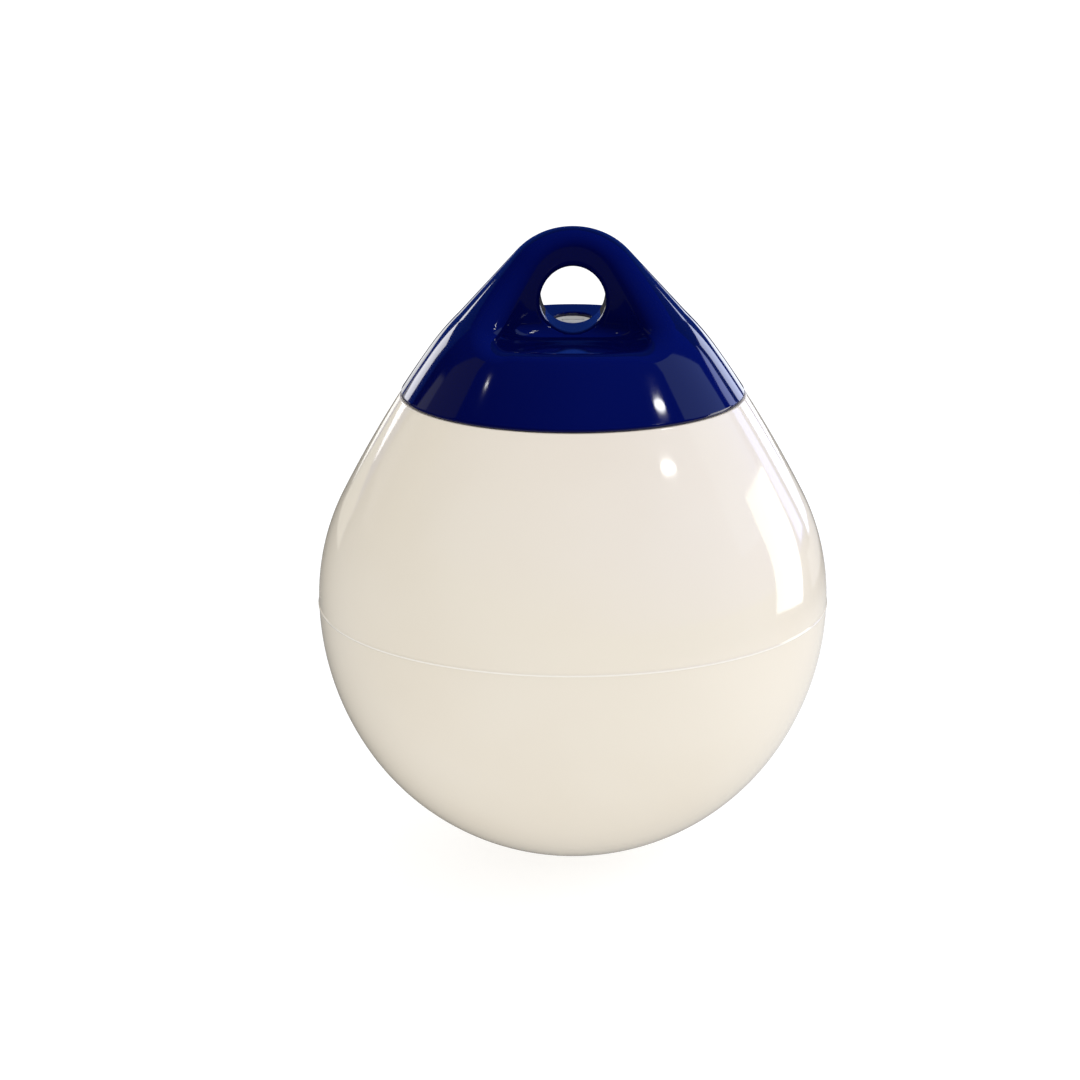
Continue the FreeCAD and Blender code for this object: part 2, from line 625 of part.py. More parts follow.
def make_valve_body(doc):
    """The valve: a flange in its seat, a sleeve through both walls and a barb under them."""
    under = "Sizes.deck_height - Sizes.wall"
    bottom = under + " - Sizes.barb_length"
    top = "Sizes.valve_seat + Sizes.flange_thickness"
    recess = top + " - Sizes.recess_depth"
    return turned_piece(doc, "valve_body", (
        ("Sizes.bore_radius", bottom),
        ("Sizes.barb_tip", bottom),
        ("Sizes.barb_radius", under),
        ("Sizes.sleeve_radius", under),
        ("Sizes.sleeve_radius", "Sizes.valve_seat"),
        ("Sizes.flange_radius", "Sizes.valve_seat"),
        ("Sizes.flange_radius", top),
        ("Sizes.recess_radius", top),
        ("Sizes.recess_radius", recess),
        ("Sizes.bore_radius", recess),
    ))


def make_valve_screw(doc):
    """The slotted screw that closes the valve, with its head in the recess of the flange."""
    top = "Sizes.valve_seat + Sizes.flange_thickness"
    seat = top + " - Sizes.recess_depth"
    tip = seat + " - Sizes.screw_reach"
    shank = "Sizes.bore_radius - Sizes.thread_gap"
    head = "Sizes.recess_radius - Sizes.head_gap"
    body = turned_piece(doc, "valve_screw", (
        ("0", tip),
        (shank + " - Sizes.screw_tip", tip),
        (shank, tip + " + Sizes.screw_tip"),
        (shank, seat),
        (head, seat),
        (head, top),
        ("0", top),
    ))
    outline = level_sketch(body, "slot", top)
    half_width, reach = SIZE["slot_width"] / 2, SIZE["recess_radius"]
    places = ((-reach, -half_width), (reach, -half_width), (reach, half_width), (-reach, half_width))
    sides = [outline.line(place, places[(turn + 1) % 4]) for turn, place in enumerate(places)]
    for turn in range(4):
        outline.meet(sides[turn - 1], END, sides[turn], START)
    for side in (sides[0], sides[2]):
        outline.rule("Horizontal", side)
    for side in (sides[1], sides[3]):
        outline.rule("Vertical", side)
    outline.rule("Symmetric", sides[0], START, sides[2], START, *ORIGIN)
    outline.size("slot_width", "Sizes.slot_width", "DistanceY", sides[1], START, sides[1], END)
    outline.size("slot_length", "2 * Sizes.recess_radius", "DistanceX", sides[0], START, sides[0], END)
    pocket(body, outline.solve(), "slot_cut", "Sizes.slot_depth")
    return body


def check(doc, pieces):
    """Fail on any object that didn't come out and on any piece that isn't one sound solid."""
    failed = [item.Name for item in doc.Objects if "Invalid" in item.State or "Error" in item.State]
    for piece in pieces:
        shape = piece.Shape
        if shape.isNull() or not shape.isValid() or len(shape.Solids) != 1:
            failed.append(piece.Label)
    if failed:
        raise ValueError("these did not come out: " + ", ".join(failed))


def main():
    """Build every piece, check it and write its file."""
    doc = FreeCAD.newDocument("mooring_buoy")
    make_sheet(doc)
    makers = (make_body_shell, make_rope_eye, make_valve_body, make_valve_screw)
    pieces = [make(doc) for make in makers]
    doc.recompute()
    check(doc, pieces)
    os.makedirs("parts", exist_ok=True)
    for piece in pieces:
        piece.Shape.exportStep(os.path.join("parts", piece.Label + ".step"))
        box = piece.Shape.optimalBoundingBox(False)
        print("%-12s %9.0f mm3" % (piece.Label, piece.Shape.Volume), box)


main()
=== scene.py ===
"""Dress the mooring buoy: a blown vinyl float, a solid moulded rope eye and an air valve."""

import math

import bpy
import numpy as np
from bpy.props import FloatProperty, FloatVectorProperty, IntProperty, PointerProperty
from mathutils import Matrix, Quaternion, Vector


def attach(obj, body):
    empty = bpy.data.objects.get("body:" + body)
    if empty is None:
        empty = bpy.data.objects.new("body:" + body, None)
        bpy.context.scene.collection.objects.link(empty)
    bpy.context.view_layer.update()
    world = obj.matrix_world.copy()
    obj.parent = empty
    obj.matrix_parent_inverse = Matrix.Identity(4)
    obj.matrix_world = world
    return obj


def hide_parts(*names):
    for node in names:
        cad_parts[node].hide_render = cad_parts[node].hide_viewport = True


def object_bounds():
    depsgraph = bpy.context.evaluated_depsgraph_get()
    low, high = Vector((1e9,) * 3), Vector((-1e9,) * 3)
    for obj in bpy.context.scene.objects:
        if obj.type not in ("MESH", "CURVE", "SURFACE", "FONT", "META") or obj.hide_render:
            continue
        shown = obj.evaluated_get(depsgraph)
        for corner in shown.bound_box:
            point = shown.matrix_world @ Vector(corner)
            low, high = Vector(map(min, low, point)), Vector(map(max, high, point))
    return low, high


bl_info = {
    "name": "Mooring Buoy",
    "version": (1, 0, 0),
    "blender": (4, 5, 0),
    "location": "3D View > Sidebar > Buoy",
    "description": "Builds an air-filled mooring buoy with a moulded rope eye and its air valve",
    "category": "Add Mesh",
}

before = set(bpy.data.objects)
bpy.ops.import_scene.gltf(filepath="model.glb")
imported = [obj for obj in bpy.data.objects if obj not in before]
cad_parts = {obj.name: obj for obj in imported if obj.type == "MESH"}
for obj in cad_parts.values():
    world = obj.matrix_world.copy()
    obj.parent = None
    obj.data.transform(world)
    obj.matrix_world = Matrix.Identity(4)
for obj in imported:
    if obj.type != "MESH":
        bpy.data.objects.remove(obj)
CAD_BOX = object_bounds()


def length(name, default, description):
    """A size in metres."""
    return FloatProperty(
        name=name, description=description, default=default,
        min=0.0, unit="LENGTH", subtype="DISTANCE", precision=5,
    )


def angle(name, degrees, description):
    """An angle, given in degrees."""
    return FloatProperty(
        name=name, description=description, default=math.radians(degrees),
        unit="ROTATION", subtype="ANGLE",
    )


def amount(name, default, description):
    """A share between none and all."""
    return FloatProperty(
        name=name, description=description, default=default,
        min=0.0, max=1.0, subtype="FACTOR", precision=3,
    )


def colour(name, default, description):
    """A colour, in linear light."""
    return FloatVectorProperty(
        name=name, description=description, default=default,
        size=3, min=0.0, max=1.0, subtype="COLOR",
    )


# Sizes and finishes

class BuoyFloatSizes(bpy.types.PropertyGroup):
    """Sizes of the blown float"""
    belly_radius: length("Belly radius", 0.140, "Half the width of the float at its widest circle")
    belly_depth: length("Belly depth", 0.1458, "From the widest circle down to the keel")
    keel_turn: angle("Keel turn", 33.3, "How far round, below level, the side turns into the keel")
    upper_side_radius: length("Upper side", 0.125, "Curve of the side above the widest circle")
    shoulder_radius: length("Shoulder", 0.651, "Curve of the long, nearly straight shoulder")
    wall: length("Wall", 0.0035, "Thickness of the blown float")
    seam_drop: length("Seam drop", 0.002, "How far the parting line lies below the widest circle")
    seam_rise: length("Seam rise", 0.0004, "How far the parting line stands out")
    seam_width: length("Seam width", 0.0016, "Width of the parting line")
    rim_height: length("Rim height", 0.1134, "Height of the lower rim of the rope eye above the widest circle")
    rim_radius: length("Rim radius", 0.0938, "Half the width of the float at that rim")
    rim_edge: length("Rim edge", 0.0008, "Rounding of the float where it steps in under the rim")
    skirt_wall: length("Skirt wall", 0.0052, "Thickness of the skirt of the eye at its rim")
    neck_tilt: angle("Neck lean", 35.0, "Lean of the neck under the skirt, from upright")
    neck_corner: length("Neck corner", 0.009, "Rounding between the neck and its flat top")
    round_steps: IntProperty(
        name="Round steps", description="Steps all the way round the float", default=240, min=24, max=400,
    )


class BuoyEyeSizes(bpy.types.PropertyGroup):
    """Sizes of the solid rope eye"""
    skirt_proud: length("Skirt proud", 0.0007, "How far the skirt stands out from the float at its rim")
    skirt_tilt: angle("Skirt lean", 32.8, "Lean of the skirt at its rim, from upright")
    skirt_radius: length("Skirt curve", 0.6516, "Curve of the skirt")
    skirt_rise: length("Skirt rise", 0.0246, "Height of the skirt from its rim to the bend")
    rim_rounding: length("Rim rounding", 0.0015, "Rounding of the lower rim of the skirt")
    bend_radius: length("Bend", 0.1397, "Curve where the skirt bends in to the eye")
    bend_past: angle("Bend past", 2.5, "How much further than the flank this bend leans in")
    waist_radius: length("Waist", 0.0603, "Hollow curve between that bend and the flank")
    flank_tilt: angle("Flank lean", 42.4, "Lean of the straight flank of the eye, from upright")
    crown_radius: length("Crown", 0.0415, "Round top of the eye")
    eye_rise: length("Eye rise", 0.004, "How far the rope hole lies above the middle of that curve")
    eye_radius: length("Rope hole", 0.0175, "Half the width of the rope hole")
    eye_lip: length("Rope hole lip", 0.0047, "Rounding of the lips of the rope hole")
    web: length("Web", 0.024, "Thickness of the eye where the rope hole goes through")
    scoop_radius: length("Scoop", 0.044, "Curve of the scoops on both sides of the web")
    floor_drop: length("Floor drop", 0.0058, "From the rope hole down to where the scoop floors would meet")
    floor_tilt: angle("Floor rise", 5.0, "Rise of each scoop floor away from the web")
    floor_wall: length("Floor wall", 0.0097, "Thickness of the eye from that meeting down to the neck")
    floor_corner: length("Floor corner", 0.010, "Rounding between a scoop and its floor")
    crease_rounding: length("Crease", 0.011, "Rounding of the edges round each scoop")
    grain_size: length("Mesh step", 0.0011, "Step of the mesh that carries the rounded shape")


class BuoyValveSizes(bpy.types.PropertyGroup):
    """Sizes of the air valve"""
    valve_offset: length("Valve offset", 0.039, "Distance of the air valve behind the middle of the eye")
    seat_depth: length("Seat depth", 0.0036, "Depth of the valve's flat seat in the scoop floor")
    flange_radius: length("Flange", 0.010, "Half the width of the valve flange")
    flange_thickness: length("Flange thickness", 0.0024, "Thickness of the valve flange")
    seat_clearance: length("Seat gap", 0.0005, "Gap round the valve flange in its seat")
    sleeve_radius: length("Sleeve", 0.007, "Half the width of the valve sleeve")
    barb_radius: length("Barb", 0.0084, "Half the width of the barb that holds the valve")
    barb_length: length("Barb length", 0.005, "Length of the barb under the neck")
    barb_tip: length("Barb tip", 0.0062, "Half the width of the barb at its tip")
    bore_radius: length("Bore", 0.004, "Half the width of the air hole in the valve")
    thread_gap: length("Thread gap", 0.0001, "Gap round the shank of the screw")
    recess_radius: length("Recess", 0.0063, "Half the width of the recess for the screw head")
    recess_depth: length("Recess depth", 0.0014, "Depth of that recess")
    head_gap: length("Head gap", 0.0003, "Gap round the head of the screw")
    screw_reach: length("Screw reach", 0.013, "Length of the screw under its head")
    screw_tip: length("Screw tip", 0.001, "Bevel at the tip of the screw")
    slot_width: length("Slot width", 0.0015, "Width of the slot in the screw")
    slot_depth: length("Slot depth", 0.0009, "Depth of the slot in the screw")
    edge_rounding: length("Edge rounding", 0.00025, "Rounding of the edges of the valve's pieces")


class BuoyFinish(bpy.types.PropertyGroup):
    """Colours and gloss"""
    white: colour("White vinyl", (0.842, 0.784, 0.684), "Colour of the float")
    white_shade: colour("White vinyl, thick", (0.820, 0.756, 0.648), "Colour of the float where its wall is thicker")
    # Painted highlight: a lighter colour along the parting line stands in for the light that its bead catches from
    # above
    seam_highlight: colour("White vinyl, seam", (0.905, 0.870, 0.800), "Colour of the parting line's painted highlight")
    white_gloss: amount("White roughness", 0.07, "Roughness of the float's skin")
    navy: colour("Navy vinyl", (0.0005, 0.0012, 0.040), "Colour of the rope eye")
    navy_shade: colour("Navy vinyl, pale", (0.0006, 0.0018, 0.050), "Colour of the rope eye where it is paler")
    navy_gloss: amount("Navy roughness", 0.05, "Roughness of the rope eye's skin")
    nylon: colour("Nylon", (0.62, 0.62, 0.57), "Colour of the air valve")
    nylon_shade: colour("Nylon, aged", (0.52, 0.50, 0.43), "Colour of the air valve where it has aged")
    nylon_gloss: amount("Nylon roughness", 0.38, "Roughness of the air valve")


class BuoyStage(bpy.types.PropertyGroup):
    """Where the camera stands"""
    camera_rise: angle("Camera rise", 16.0, "How far the camera looks down")
    camera_distance: length("Camera distance", 1.638, "From the camera to the middle of the buoy")
    camera_target: length("Camera target", 0.13896, "How far below the rope hole the camera looks")
    floor_gap: length("Floor gap", 0.0004, "How far under the keel the floor lies")


# Shapes drawn as a chain of arcs and lines

def along(centre, radius, tilt):
    """The point of a circle where its outward direction is tilted up by an angle."""
    return centre[0] + radius * math.cos(tilt), centre[1] + radius * math.sin(tilt)


def tilt_at(centre, radius, height):
    """The tilt of a circle at a height."""
    return math.asin((height - centre[1]) / radius)


def edge_centre(centre, radius, rounding, height, upwards):
    """The middle of a small rounding between a curve and a level face."""
    level = height + rounding if upwards else height - rounding
    return along(centre, radius - rounding, tilt_at(centre, radius - rounding, level))


class Plan:
    """The places that follow from the sizes, in metres above the widest circle."""

    def __init__(self):
        scene = bpy.context.scene
        self.body, self.eye, self.valve = scene.buoy_float, scene.buoy_eye, scene.buoy_valve
        body, eye = self.body, self.eye
        share = (1 - math.sin(body.keel_turn)) / math.cos(body.keel_turn)
        self.low_radius = (body.belly_depth - body.belly_radius * share) / (1 - share)
        self.low = (body.belly_radius - self.low_radius, 0.0)
        self.keel = (0.0, self.low[0] * math.tan(body.keel_turn))
        self.side = (body.belly_radius - body.upper_side_radius, 0.0)
        self.shoulder = self.shoulder_middle()
        self.shoulder_turn = math.atan2(
            self.side[1] - self.shoulder[1], self.side[0] - self.shoulder[0],
        )
        self.skirt = (
            body.rim_radius + eye.skirt_proud - eye.skirt_radius * math.cos(eye.skirt_tilt),
            body.rim_height - eye.skirt_radius * math.sin(eye.skirt_tilt),
        )
        self.bend_turn = tilt_at(self.skirt, eye.skirt_radius, body.rim_height + eye.skirt_rise)
        self.bend = along(self.skirt, eye.skirt_radius - eye.bend_radius, self.bend_turn)
        self.waist_turn = eye.flank_tilt + eye.bend_past
        self.waist = along(self.bend, eye.bend_radius + eye.waist_radius, self.waist_turn)
        self.flank_foot = along(self.waist, -eye.waist_radius, eye.flank_tilt)
        reach = self.flank_foot[0] * math.cos(eye.flank_tilt) + self.flank_foot[1] * math.sin(eye.flank_tilt)
        self.crown = (0.0, (reach - eye.crown_radius) / math.sin(eye.flank_tilt))
        self.eye_height = self.crown[1] + eye.eye_rise
        self.floor = self.eye_height - eye.eye_radius - eye.floor_drop
        self.deck = self.floor - eye.floor_wall
        self.neck_foot = (body.rim_radius - body.skirt_wall, body.rim_height)
        lean, rise = math.cos(body.neck_tilt), math.sin(body.neck_tilt)
        neck_facing = self.neck_foot[0] * lean + self.neck_foot[1] * rise
        corner_height = self.deck - body.neck_corner
        corner_reach = neck_facing - body.neck_corner - rise * corner_height
        self.neck_corner = (corner_reach / lean, corner_height)
        self.seat = self.floor + self.valve.valve_offset * math.tan(eye.floor_tilt) - self.valve.seat_depth
        self.scoop_middle = eye.web / 2 + eye.scoop_radius * math.cos(eye.floor_tilt)

    def shoulder_middle(self):
        """The middle of the shoulder's curve, which leaves the side smoothly and ends at the rim."""
        step = self.body.shoulder_radius - self.body.upper_side_radius
        across, up = self.body.rim_radius - self.side[0], self.body.rim_height - self.side[1]
        apart = math.hypot(across, up)
        back = (step ** 2 - self.body.shoulder_radius ** 2 + apart ** 2) / (2 * apart)
        aside = math.sqrt(step ** 2 - back ** 2)
        return (
            self.side[0] + (back * across - aside * up) / apart,
            self.side[1] + (back * up + aside * across) / apart,
        )


# Modelling by hand: points, arcs and turned shapes

CUTTER_SIDES = 128


def start_outline(name, place):
    """Begin an outline: a small plane merged to one point and set in place."""
    bpy.ops.object.select_all(action="DESELECT")
    bpy.ops.mesh.primitive_plane_add(size=0.001, location=(0.0, 0.0, 0.0))
    piece = bpy.context.object
    piece.name = piece.data.name = name
    bpy.ops.object.mode_set(mode="EDIT")
    bpy.ops.mesh.select_all(action="SELECT")
    bpy.ops.mesh.merge(type="CENTER")
    bpy.ops.transform.translate(value=(place[0], 0.0, place[1]))
    return piece


class Pencil:
    """Goes on with an outline from its last point, in the upright plane, with arcs in even steps."""

    def __init__(self, place, lift, step=0.002):
        self.place, self.lift, self.step = place, lift, step

    def to(self, place):
        """Draw a straight line."""
        move = (place[0] - self.place[0], 0.0, place[1] - self.place[1])
        bpy.ops.mesh.extrude_region_move(TRANSFORM_OT_translate={"value": move})
        self.place = place

    def line(self, place, steps):
        """Draw a straight line in equal steps."""
        first = self.place
        for turn in range(1, steps + 1):
            share = turn / steps
            self.to((first[0] + (place[0] - first[0]) * share, first[1] + (place[1] - first[1]) * share))

    def arc(self, centre, radius, first, last, steps=None):
        """Draw an arc between two tilts."""
        steps = steps or max(2, round(abs(last - first) * radius / self.step))
        middle = (centre[0], 0.0, centre[1] + self.lift)
        bpy.ops.mesh.spin(steps=steps, angle=last - first, center=middle, axis=(0.0, 1.0, 0.0))
        self.place = along(centre, radius, last)


def turn_round(steps):
    """Turn the outline all the way round, close its seam and poles and face it outwards."""
    bpy.ops.mesh.select_all(action="SELECT")
    bpy.ops.mesh.spin(steps=steps, angle=math.tau, center=(0.0, 0.0, 0.0), axis=(0.0, 0.0, 1.0))
    bpy.ops.mesh.select_all(action="SELECT")
    bpy.ops.mesh.remove_doubles(threshold=1e-6)
    bpy.ops.mesh.normals_make_consistent(inside=False)
    bpy.ops.object.mode_set(mode="OBJECT")
    bpy.ops.object.shade_smooth()


def finish_modifier(piece, kind, name, **settings):
    """Add a modifier, set it up and apply it."""
    bpy.ops.object.select_all(action="DESELECT")
    piece.select_set(True)
    bpy.context.view_layer.objects.active = piece
    modifier = piece.modifiers.new(name, kind)
    for key, value in settings.items():
        setattr(modifier, key, value)
    bpy.ops.object.modifier_apply(modifier=modifier.name)


def cut_away(piece, cutter, name):
    """Cut one shape out of another and throw the cutter away."""
    finish_modifier(piece, "BOOLEAN", name, operation="DIFFERENCE", solver="EXACT", object=cutter)
    bpy.data.objects.remove(cutter, do_unlink=True)


def round_cutter(name, radius, place, reach, along_y=False):
    """A round bar to cut with, by its middle, radius and length, upright or along Y."""
    bpy.ops.object.select_all(action="DESELECT")
    turn = (math.pi / 2, 0.0, 0.0) if along_y else (0.0, 0.0, 0.0)
    bpy.ops.mesh.primitive_cylinder_add(
        vertices=CUTTER_SIDES, radius=radius, depth=reach, location=place, rotation=turn,
    )
    cutter = bpy.context.object
    cutter.name = name
    bpy.ops.object.transform_apply(location=True, rotation=True, scale=True)
    return cutter


def give(piece, material, node):
    """Give a piece its material and its place in the part."""
    piece.data.materials.clear()
    piece.data.materials.append(material)
    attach(piece, "root")
    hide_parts(node)


# The float

# Short steps beside a crisp edge, which keep its shading close to it
NEAR = 0.0004

# Section of the parting line: shares of its width from its middle, and of its rise
SEAM_SECTION = ((-1 / 4, 7 / 8), (-1 / 8, 1.0), (1 / 8, 1.0), (1 / 4, 7 / 8))


def draw_float(plan):
    """Draw the outside of the float, from the keel up to the middle of the neck's flat top."""
    body = plan.body
    lift = -plan.eye_height
    piece = start_outline("vinyl_float", (0.0, lift - body.belly_depth))
    pencil = Pencil((0.0, -body.belly_depth), lift, step=0.0032)
    keel = body.belly_depth + plan.keel[1]
    pencil.arc(plan.keel, keel, -math.pi / 2, -body.keel_turn)
    low_edge, high_edge = (-body.seam_drop + side * body.seam_width / 2 for side in (-1, 1))
    heights = (low_edge - NEAR, low_edge, high_edge, high_edge + NEAR)
    tilts = [tilt_at(plan.low, plan.low_radius, height) for height in heights]
    pencil.arc(plan.low, plan.low_radius, -body.keel_turn, tilts[0])
    pencil.arc(plan.low, plan.low_radius, tilts[0], tilts[1], steps=1)
    for across, out in SEAM_SECTION:
        pencil.to((body.belly_radius + body.seam_rise * out, body.seam_width * across - body.seam_drop))
    pencil.to(along(plan.low, plan.low_radius, tilts[2]))
    pencil.arc(plan.low, plan.low_radius, tilts[2], tilts[3], steps=1)
    pencil.arc(plan.low, plan.low_radius, tilts[3], 0.0, steps=1)
    pencil.arc(plan.side, body.upper_side_radius, 0.0, plan.shoulder_turn)
    edge = body.rim_edge
    rim = edge_centre(plan.shoulder, body.shoulder_radius, edge, body.rim_height, upwards=False)
    rim_turn = tilt_at(plan.shoulder, body.shoulder_radius - edge, rim[1])
    before = rim_turn - NEAR / body.shoulder_radius
    pencil.arc(plan.shoulder, body.shoulder_radius, plan.shoulder_turn, before)
    pencil.arc(plan.shoulder, body.shoulder_radius, before, rim_turn, steps=1)
    pencil.arc(rim, edge, rim_turn, math.pi / 2, steps=5)
    pencil.line(plan.neck_foot, steps=2)
    pencil.line(along(plan.neck_corner, body.neck_corner, body.neck_tilt), steps=4)
    pencil.arc(plan.neck_corner, body.neck_corner, body.neck_tilt, math.pi / 2, steps=6)
    pencil.line((0.0, plan.deck), steps=6)
    return piece


class BUOY_OT_float(bpy.types.Operator):
    """Build the blown float"""
    bl_idname = "buoy.float"
    bl_label = "Float"

    def execute(self, context):
        plan = Plan()
        piece = draw_float(plan)
        turn_round(plan.body.round_steps)
        finish_modifier(
            piece, "SOLIDIFY", "wall", thickness=plan.body.wall, offset=-1.0, use_even_offset=True,
        )
        reach = 4 * plan.body.wall
        place = (0.0, plan.valve.valve_offset, plan.deck - plan.eye_height)
        passage = round_cutter("valve_passage", plan.valve.sleeve_radius, place, reach)
        cut_away(piece, passage, "valve_passage")
        give(piece, white_vinyl(), "body_shell")
        return {"FINISHED"}


# The rope eye. Its true surface is worked out at any point as a depth, which is the distance
# outwards from the surface and less than nought inside, and the direction that it faces.

CRISP = 0.0002  # rounding of edges that look sharp
SEAT_EDGE = 0.0006  # rounding of the edge of the valve's seat
HOLE_CUT, VALVE_CUT = 0.2, 0.05  # lengths of the cutters, well past what they cut through
PARALLEL = 0.999  # the most that two directions are taken to agree
SMALLEST = 1e-9  # the least size that is divided by


def blend_faces(first, second, rounding):
    """Two outsides joined with a rounding of one radius, whatever the angle between them."""
    depth_a, face_a = first
    depth_b, face_b = second
    facing = np.clip(np.sum(face_a * face_b, axis=1), -PARALLEL, PARALLEL)
    u, v = depth_a + rounding, depth_b + rounding
    spread = 1.0 - facing ** 2
    part_a, part_b = (u - v * facing) / spread, (v - u * facing) / spread
    in_corner = (part_a > 0) & (part_b > 0)
    line = np.where(in_corner[:, None], part_a[:, None] * face_a + part_b[:, None] * face_b, 1.0)
    size = np.linalg.norm(line, axis=1)
    a_ahead = depth_a > depth_b
    depth = np.where(in_corner, size - rounding, np.where(a_ahead, depth_a, depth_b))
    face = np.where(in_corner[:, None], line / size[:, None], np.where(a_ahead[:, None], face_a, face_b))
    return depth, face


def flip(surface):
    """The same surface seen from its other side."""
    return -surface[0], -surface[1]


def arc_depth(centre, radius, across, up, hollow=False):
    """Depth at an arc of the outline, and the direction it faces."""
    dx, dz = across - centre[0], up - centre[1]
    size = np.maximum(np.hypot(dx, dz), SMALLEST)
    sign = -1.0 if hollow else 1.0
    return sign * (size - radius), sign * dx / size, sign * dz / size


def line_depth(place, tilt, across, up):
    """Depth at a straight line of the outline, and the direction it faces."""
    facing, rising = math.cos(tilt), math.sin(tilt)
    depth = (across - place[0]) * facing + (up - place[1]) * rising
    return depth, np.full_like(depth, facing), np.full_like(depth, rising)


def on_axis(points, outline_depth, across, up):
    """A turned surface's depth and direction from those of its outline."""
    radius = np.maximum(np.hypot(points[:, 0], points[:, 1]), SMALLEST)
    face = np.stack((across * points[:, 0] / radius, across * points[:, 1] / radius, up), axis=1)
    return outline_depth, face


def level_face(points, height, upwards):
    """A level plane, solid below it if it faces upwards."""
    sign = 1.0 if upwards else -1.0
    face = np.zeros_like(points)
    face[:, 2] = sign
    return sign * (points[:, 2] - height), face


def bar(points, middle, radius, across=1.0, crossing=1):
    """A round or slightly oval bar, upright (crossing 1) or along Y (crossing 2)."""
    x = points[:, 0] - middle[0]
    y = (points[:, crossing] - middle[1]) / across
    size = np.maximum(np.hypot(x, y), SMALLEST)
    face = np.zeros_like(points)
    face[:, 0] = x / size
    face[:, crossing] = y / size / across
    steep = np.linalg.norm(face, axis=1)
    return (size - radius) / steep, face / steep[:, None]


def outside_of_eye(plan, points):
    """The turned outside of the eye: skirt, bend, waist, flank and crown."""
    eye, body = plan.eye, plan.body
    radius, height = np.hypot(points[:, 0], points[:, 1]), points[:, 2]
    joints = (
        (along(plan.skirt, eye.skirt_radius, plan.bend_turn), plan.bend_turn),
        (along(plan.bend, eye.bend_radius, plan.waist_turn), plan.waist_turn),
        (plan.flank_foot, eye.flank_tilt),
        (along(plan.crown, eye.crown_radius, eye.flank_tilt), eye.flank_tilt),
    )
    depth, across, up = arc_depth(plan.skirt, eye.skirt_radius, radius, height)
    later = (
        arc_depth(plan.bend, eye.bend_radius, radius, height),
        arc_depth(plan.waist, eye.waist_radius, radius, height, hollow=True),
        line_depth(plan.flank_foot, eye.flank_tilt, radius, height),
        arc_depth(plan.crown, eye.crown_radius, radius, height),
    )
    for (joint, tilt), (next_depth, next_across, next_up) in zip(joints, later):
        past = (height - joint[1]) * math.cos(tilt) - (radius - joint[0]) * math.sin(tilt) > 0
        parts = ((next_depth, depth), (next_across, across), (next_up, up))
        depth, across, up = (np.where(past, new, old) for new, old in parts)
    return on_axis(points, depth, across, up)


def eye_surface(plan, points):
    """The eye's depth and direction at points whose heights are above the widest circle."""
    eye, body, valve = plan.eye, plan.body, plan.valve
    rim = level_face(points, body.rim_height, upwards=False)
    shape = blend_faces(outside_of_eye(plan, points), rim, eye.rim_rounding)
    for side in (-1.0, 1.0):
        lean = math.cos(eye.floor_tilt)
        wall = bar(points, (0.0, side * plan.scoop_middle), eye.scoop_radius, across=lean)
        over = (points[:, 2] - plan.floor) * lean - side * points[:, 1] * math.sin(eye.floor_tilt)
        face = np.zeros_like(points)
        face[:, 1], face[:, 2] = side * math.sin(eye.floor_tilt), -lean
        scoop = blend_faces(wall, (-over, face), eye.floor_corner)
        shape = blend_faces(shape, flip(scoop), eye.crease_rounding)
    hole = bar(points, (0.0, plan.eye_height), eye.eye_radius, crossing=2)
    shape = blend_faces(shape, flip(hole), eye.eye_lip)
    radius, height = np.hypot(points[:, 0], points[:, 1]), points[:, 2]
    neck_side = on_axis(points, *line_depth(plan.neck_foot, body.neck_tilt, radius, height))
    neck = blend_faces(neck_side, level_face(points, plan.deck, upwards=True), body.neck_corner)
    shape = blend_faces(shape, flip(neck), CRISP)
    seat_wall = bar(points, (0.0, valve.valve_offset), valve.flange_radius + valve.seat_clearance)
    seat = blend_faces(seat_wall, level_face(points, plan.seat, upwards=False), CRISP)
    shape = blend_faces(shape, flip(seat), SEAT_EDGE)
    passage = bar(points, (0.0, valve.valve_offset), valve.sleeve_radius)
    return blend_faces(shape, flip(passage), CRISP)


def draw_eye(plan):
    """Draw the section of the eye, from the neck's middle down the socket and up the outside."""
    eye, body = plan.eye, plan.body
    lift = -plan.eye_height
    piece = start_outline("vinyl_rope_eye", (0.0, plan.deck + lift))
    pencil = Pencil((0.0, plan.deck), lift)
    pencil.to((plan.neck_corner[0], plan.deck))
    pencil.arc(plan.neck_corner, body.neck_corner, math.pi / 2, body.neck_tilt, steps=6)
    pencil.to(plan.neck_foot)
    rim = edge_centre(plan.skirt, eye.skirt_radius, eye.rim_rounding, body.rim_height, upwards=True)
    rim_turn = tilt_at(plan.skirt, eye.skirt_radius - eye.rim_rounding, rim[1])
    pencil.to((rim[0], body.rim_height))
    pencil.arc(rim, eye.rim_rounding, -math.pi / 2, rim_turn, steps=6)
    pencil.arc(plan.skirt, eye.skirt_radius, rim_turn, plan.bend_turn)
    pencil.arc(plan.bend, eye.bend_radius, plan.bend_turn, plan.waist_turn)
    hollow_turns = math.pi + plan.waist_turn, math.pi + eye.flank_tilt
    pencil.arc(plan.waist, eye.waist_radius, *hollow_turns, steps=2)
    pencil.to(along(plan.crown, eye.crown_radius, eye.flank_tilt))
    pencil.arc(plan.crown, eye.crown_radius, eye.flank_tilt, math.pi / 2)
    return piece


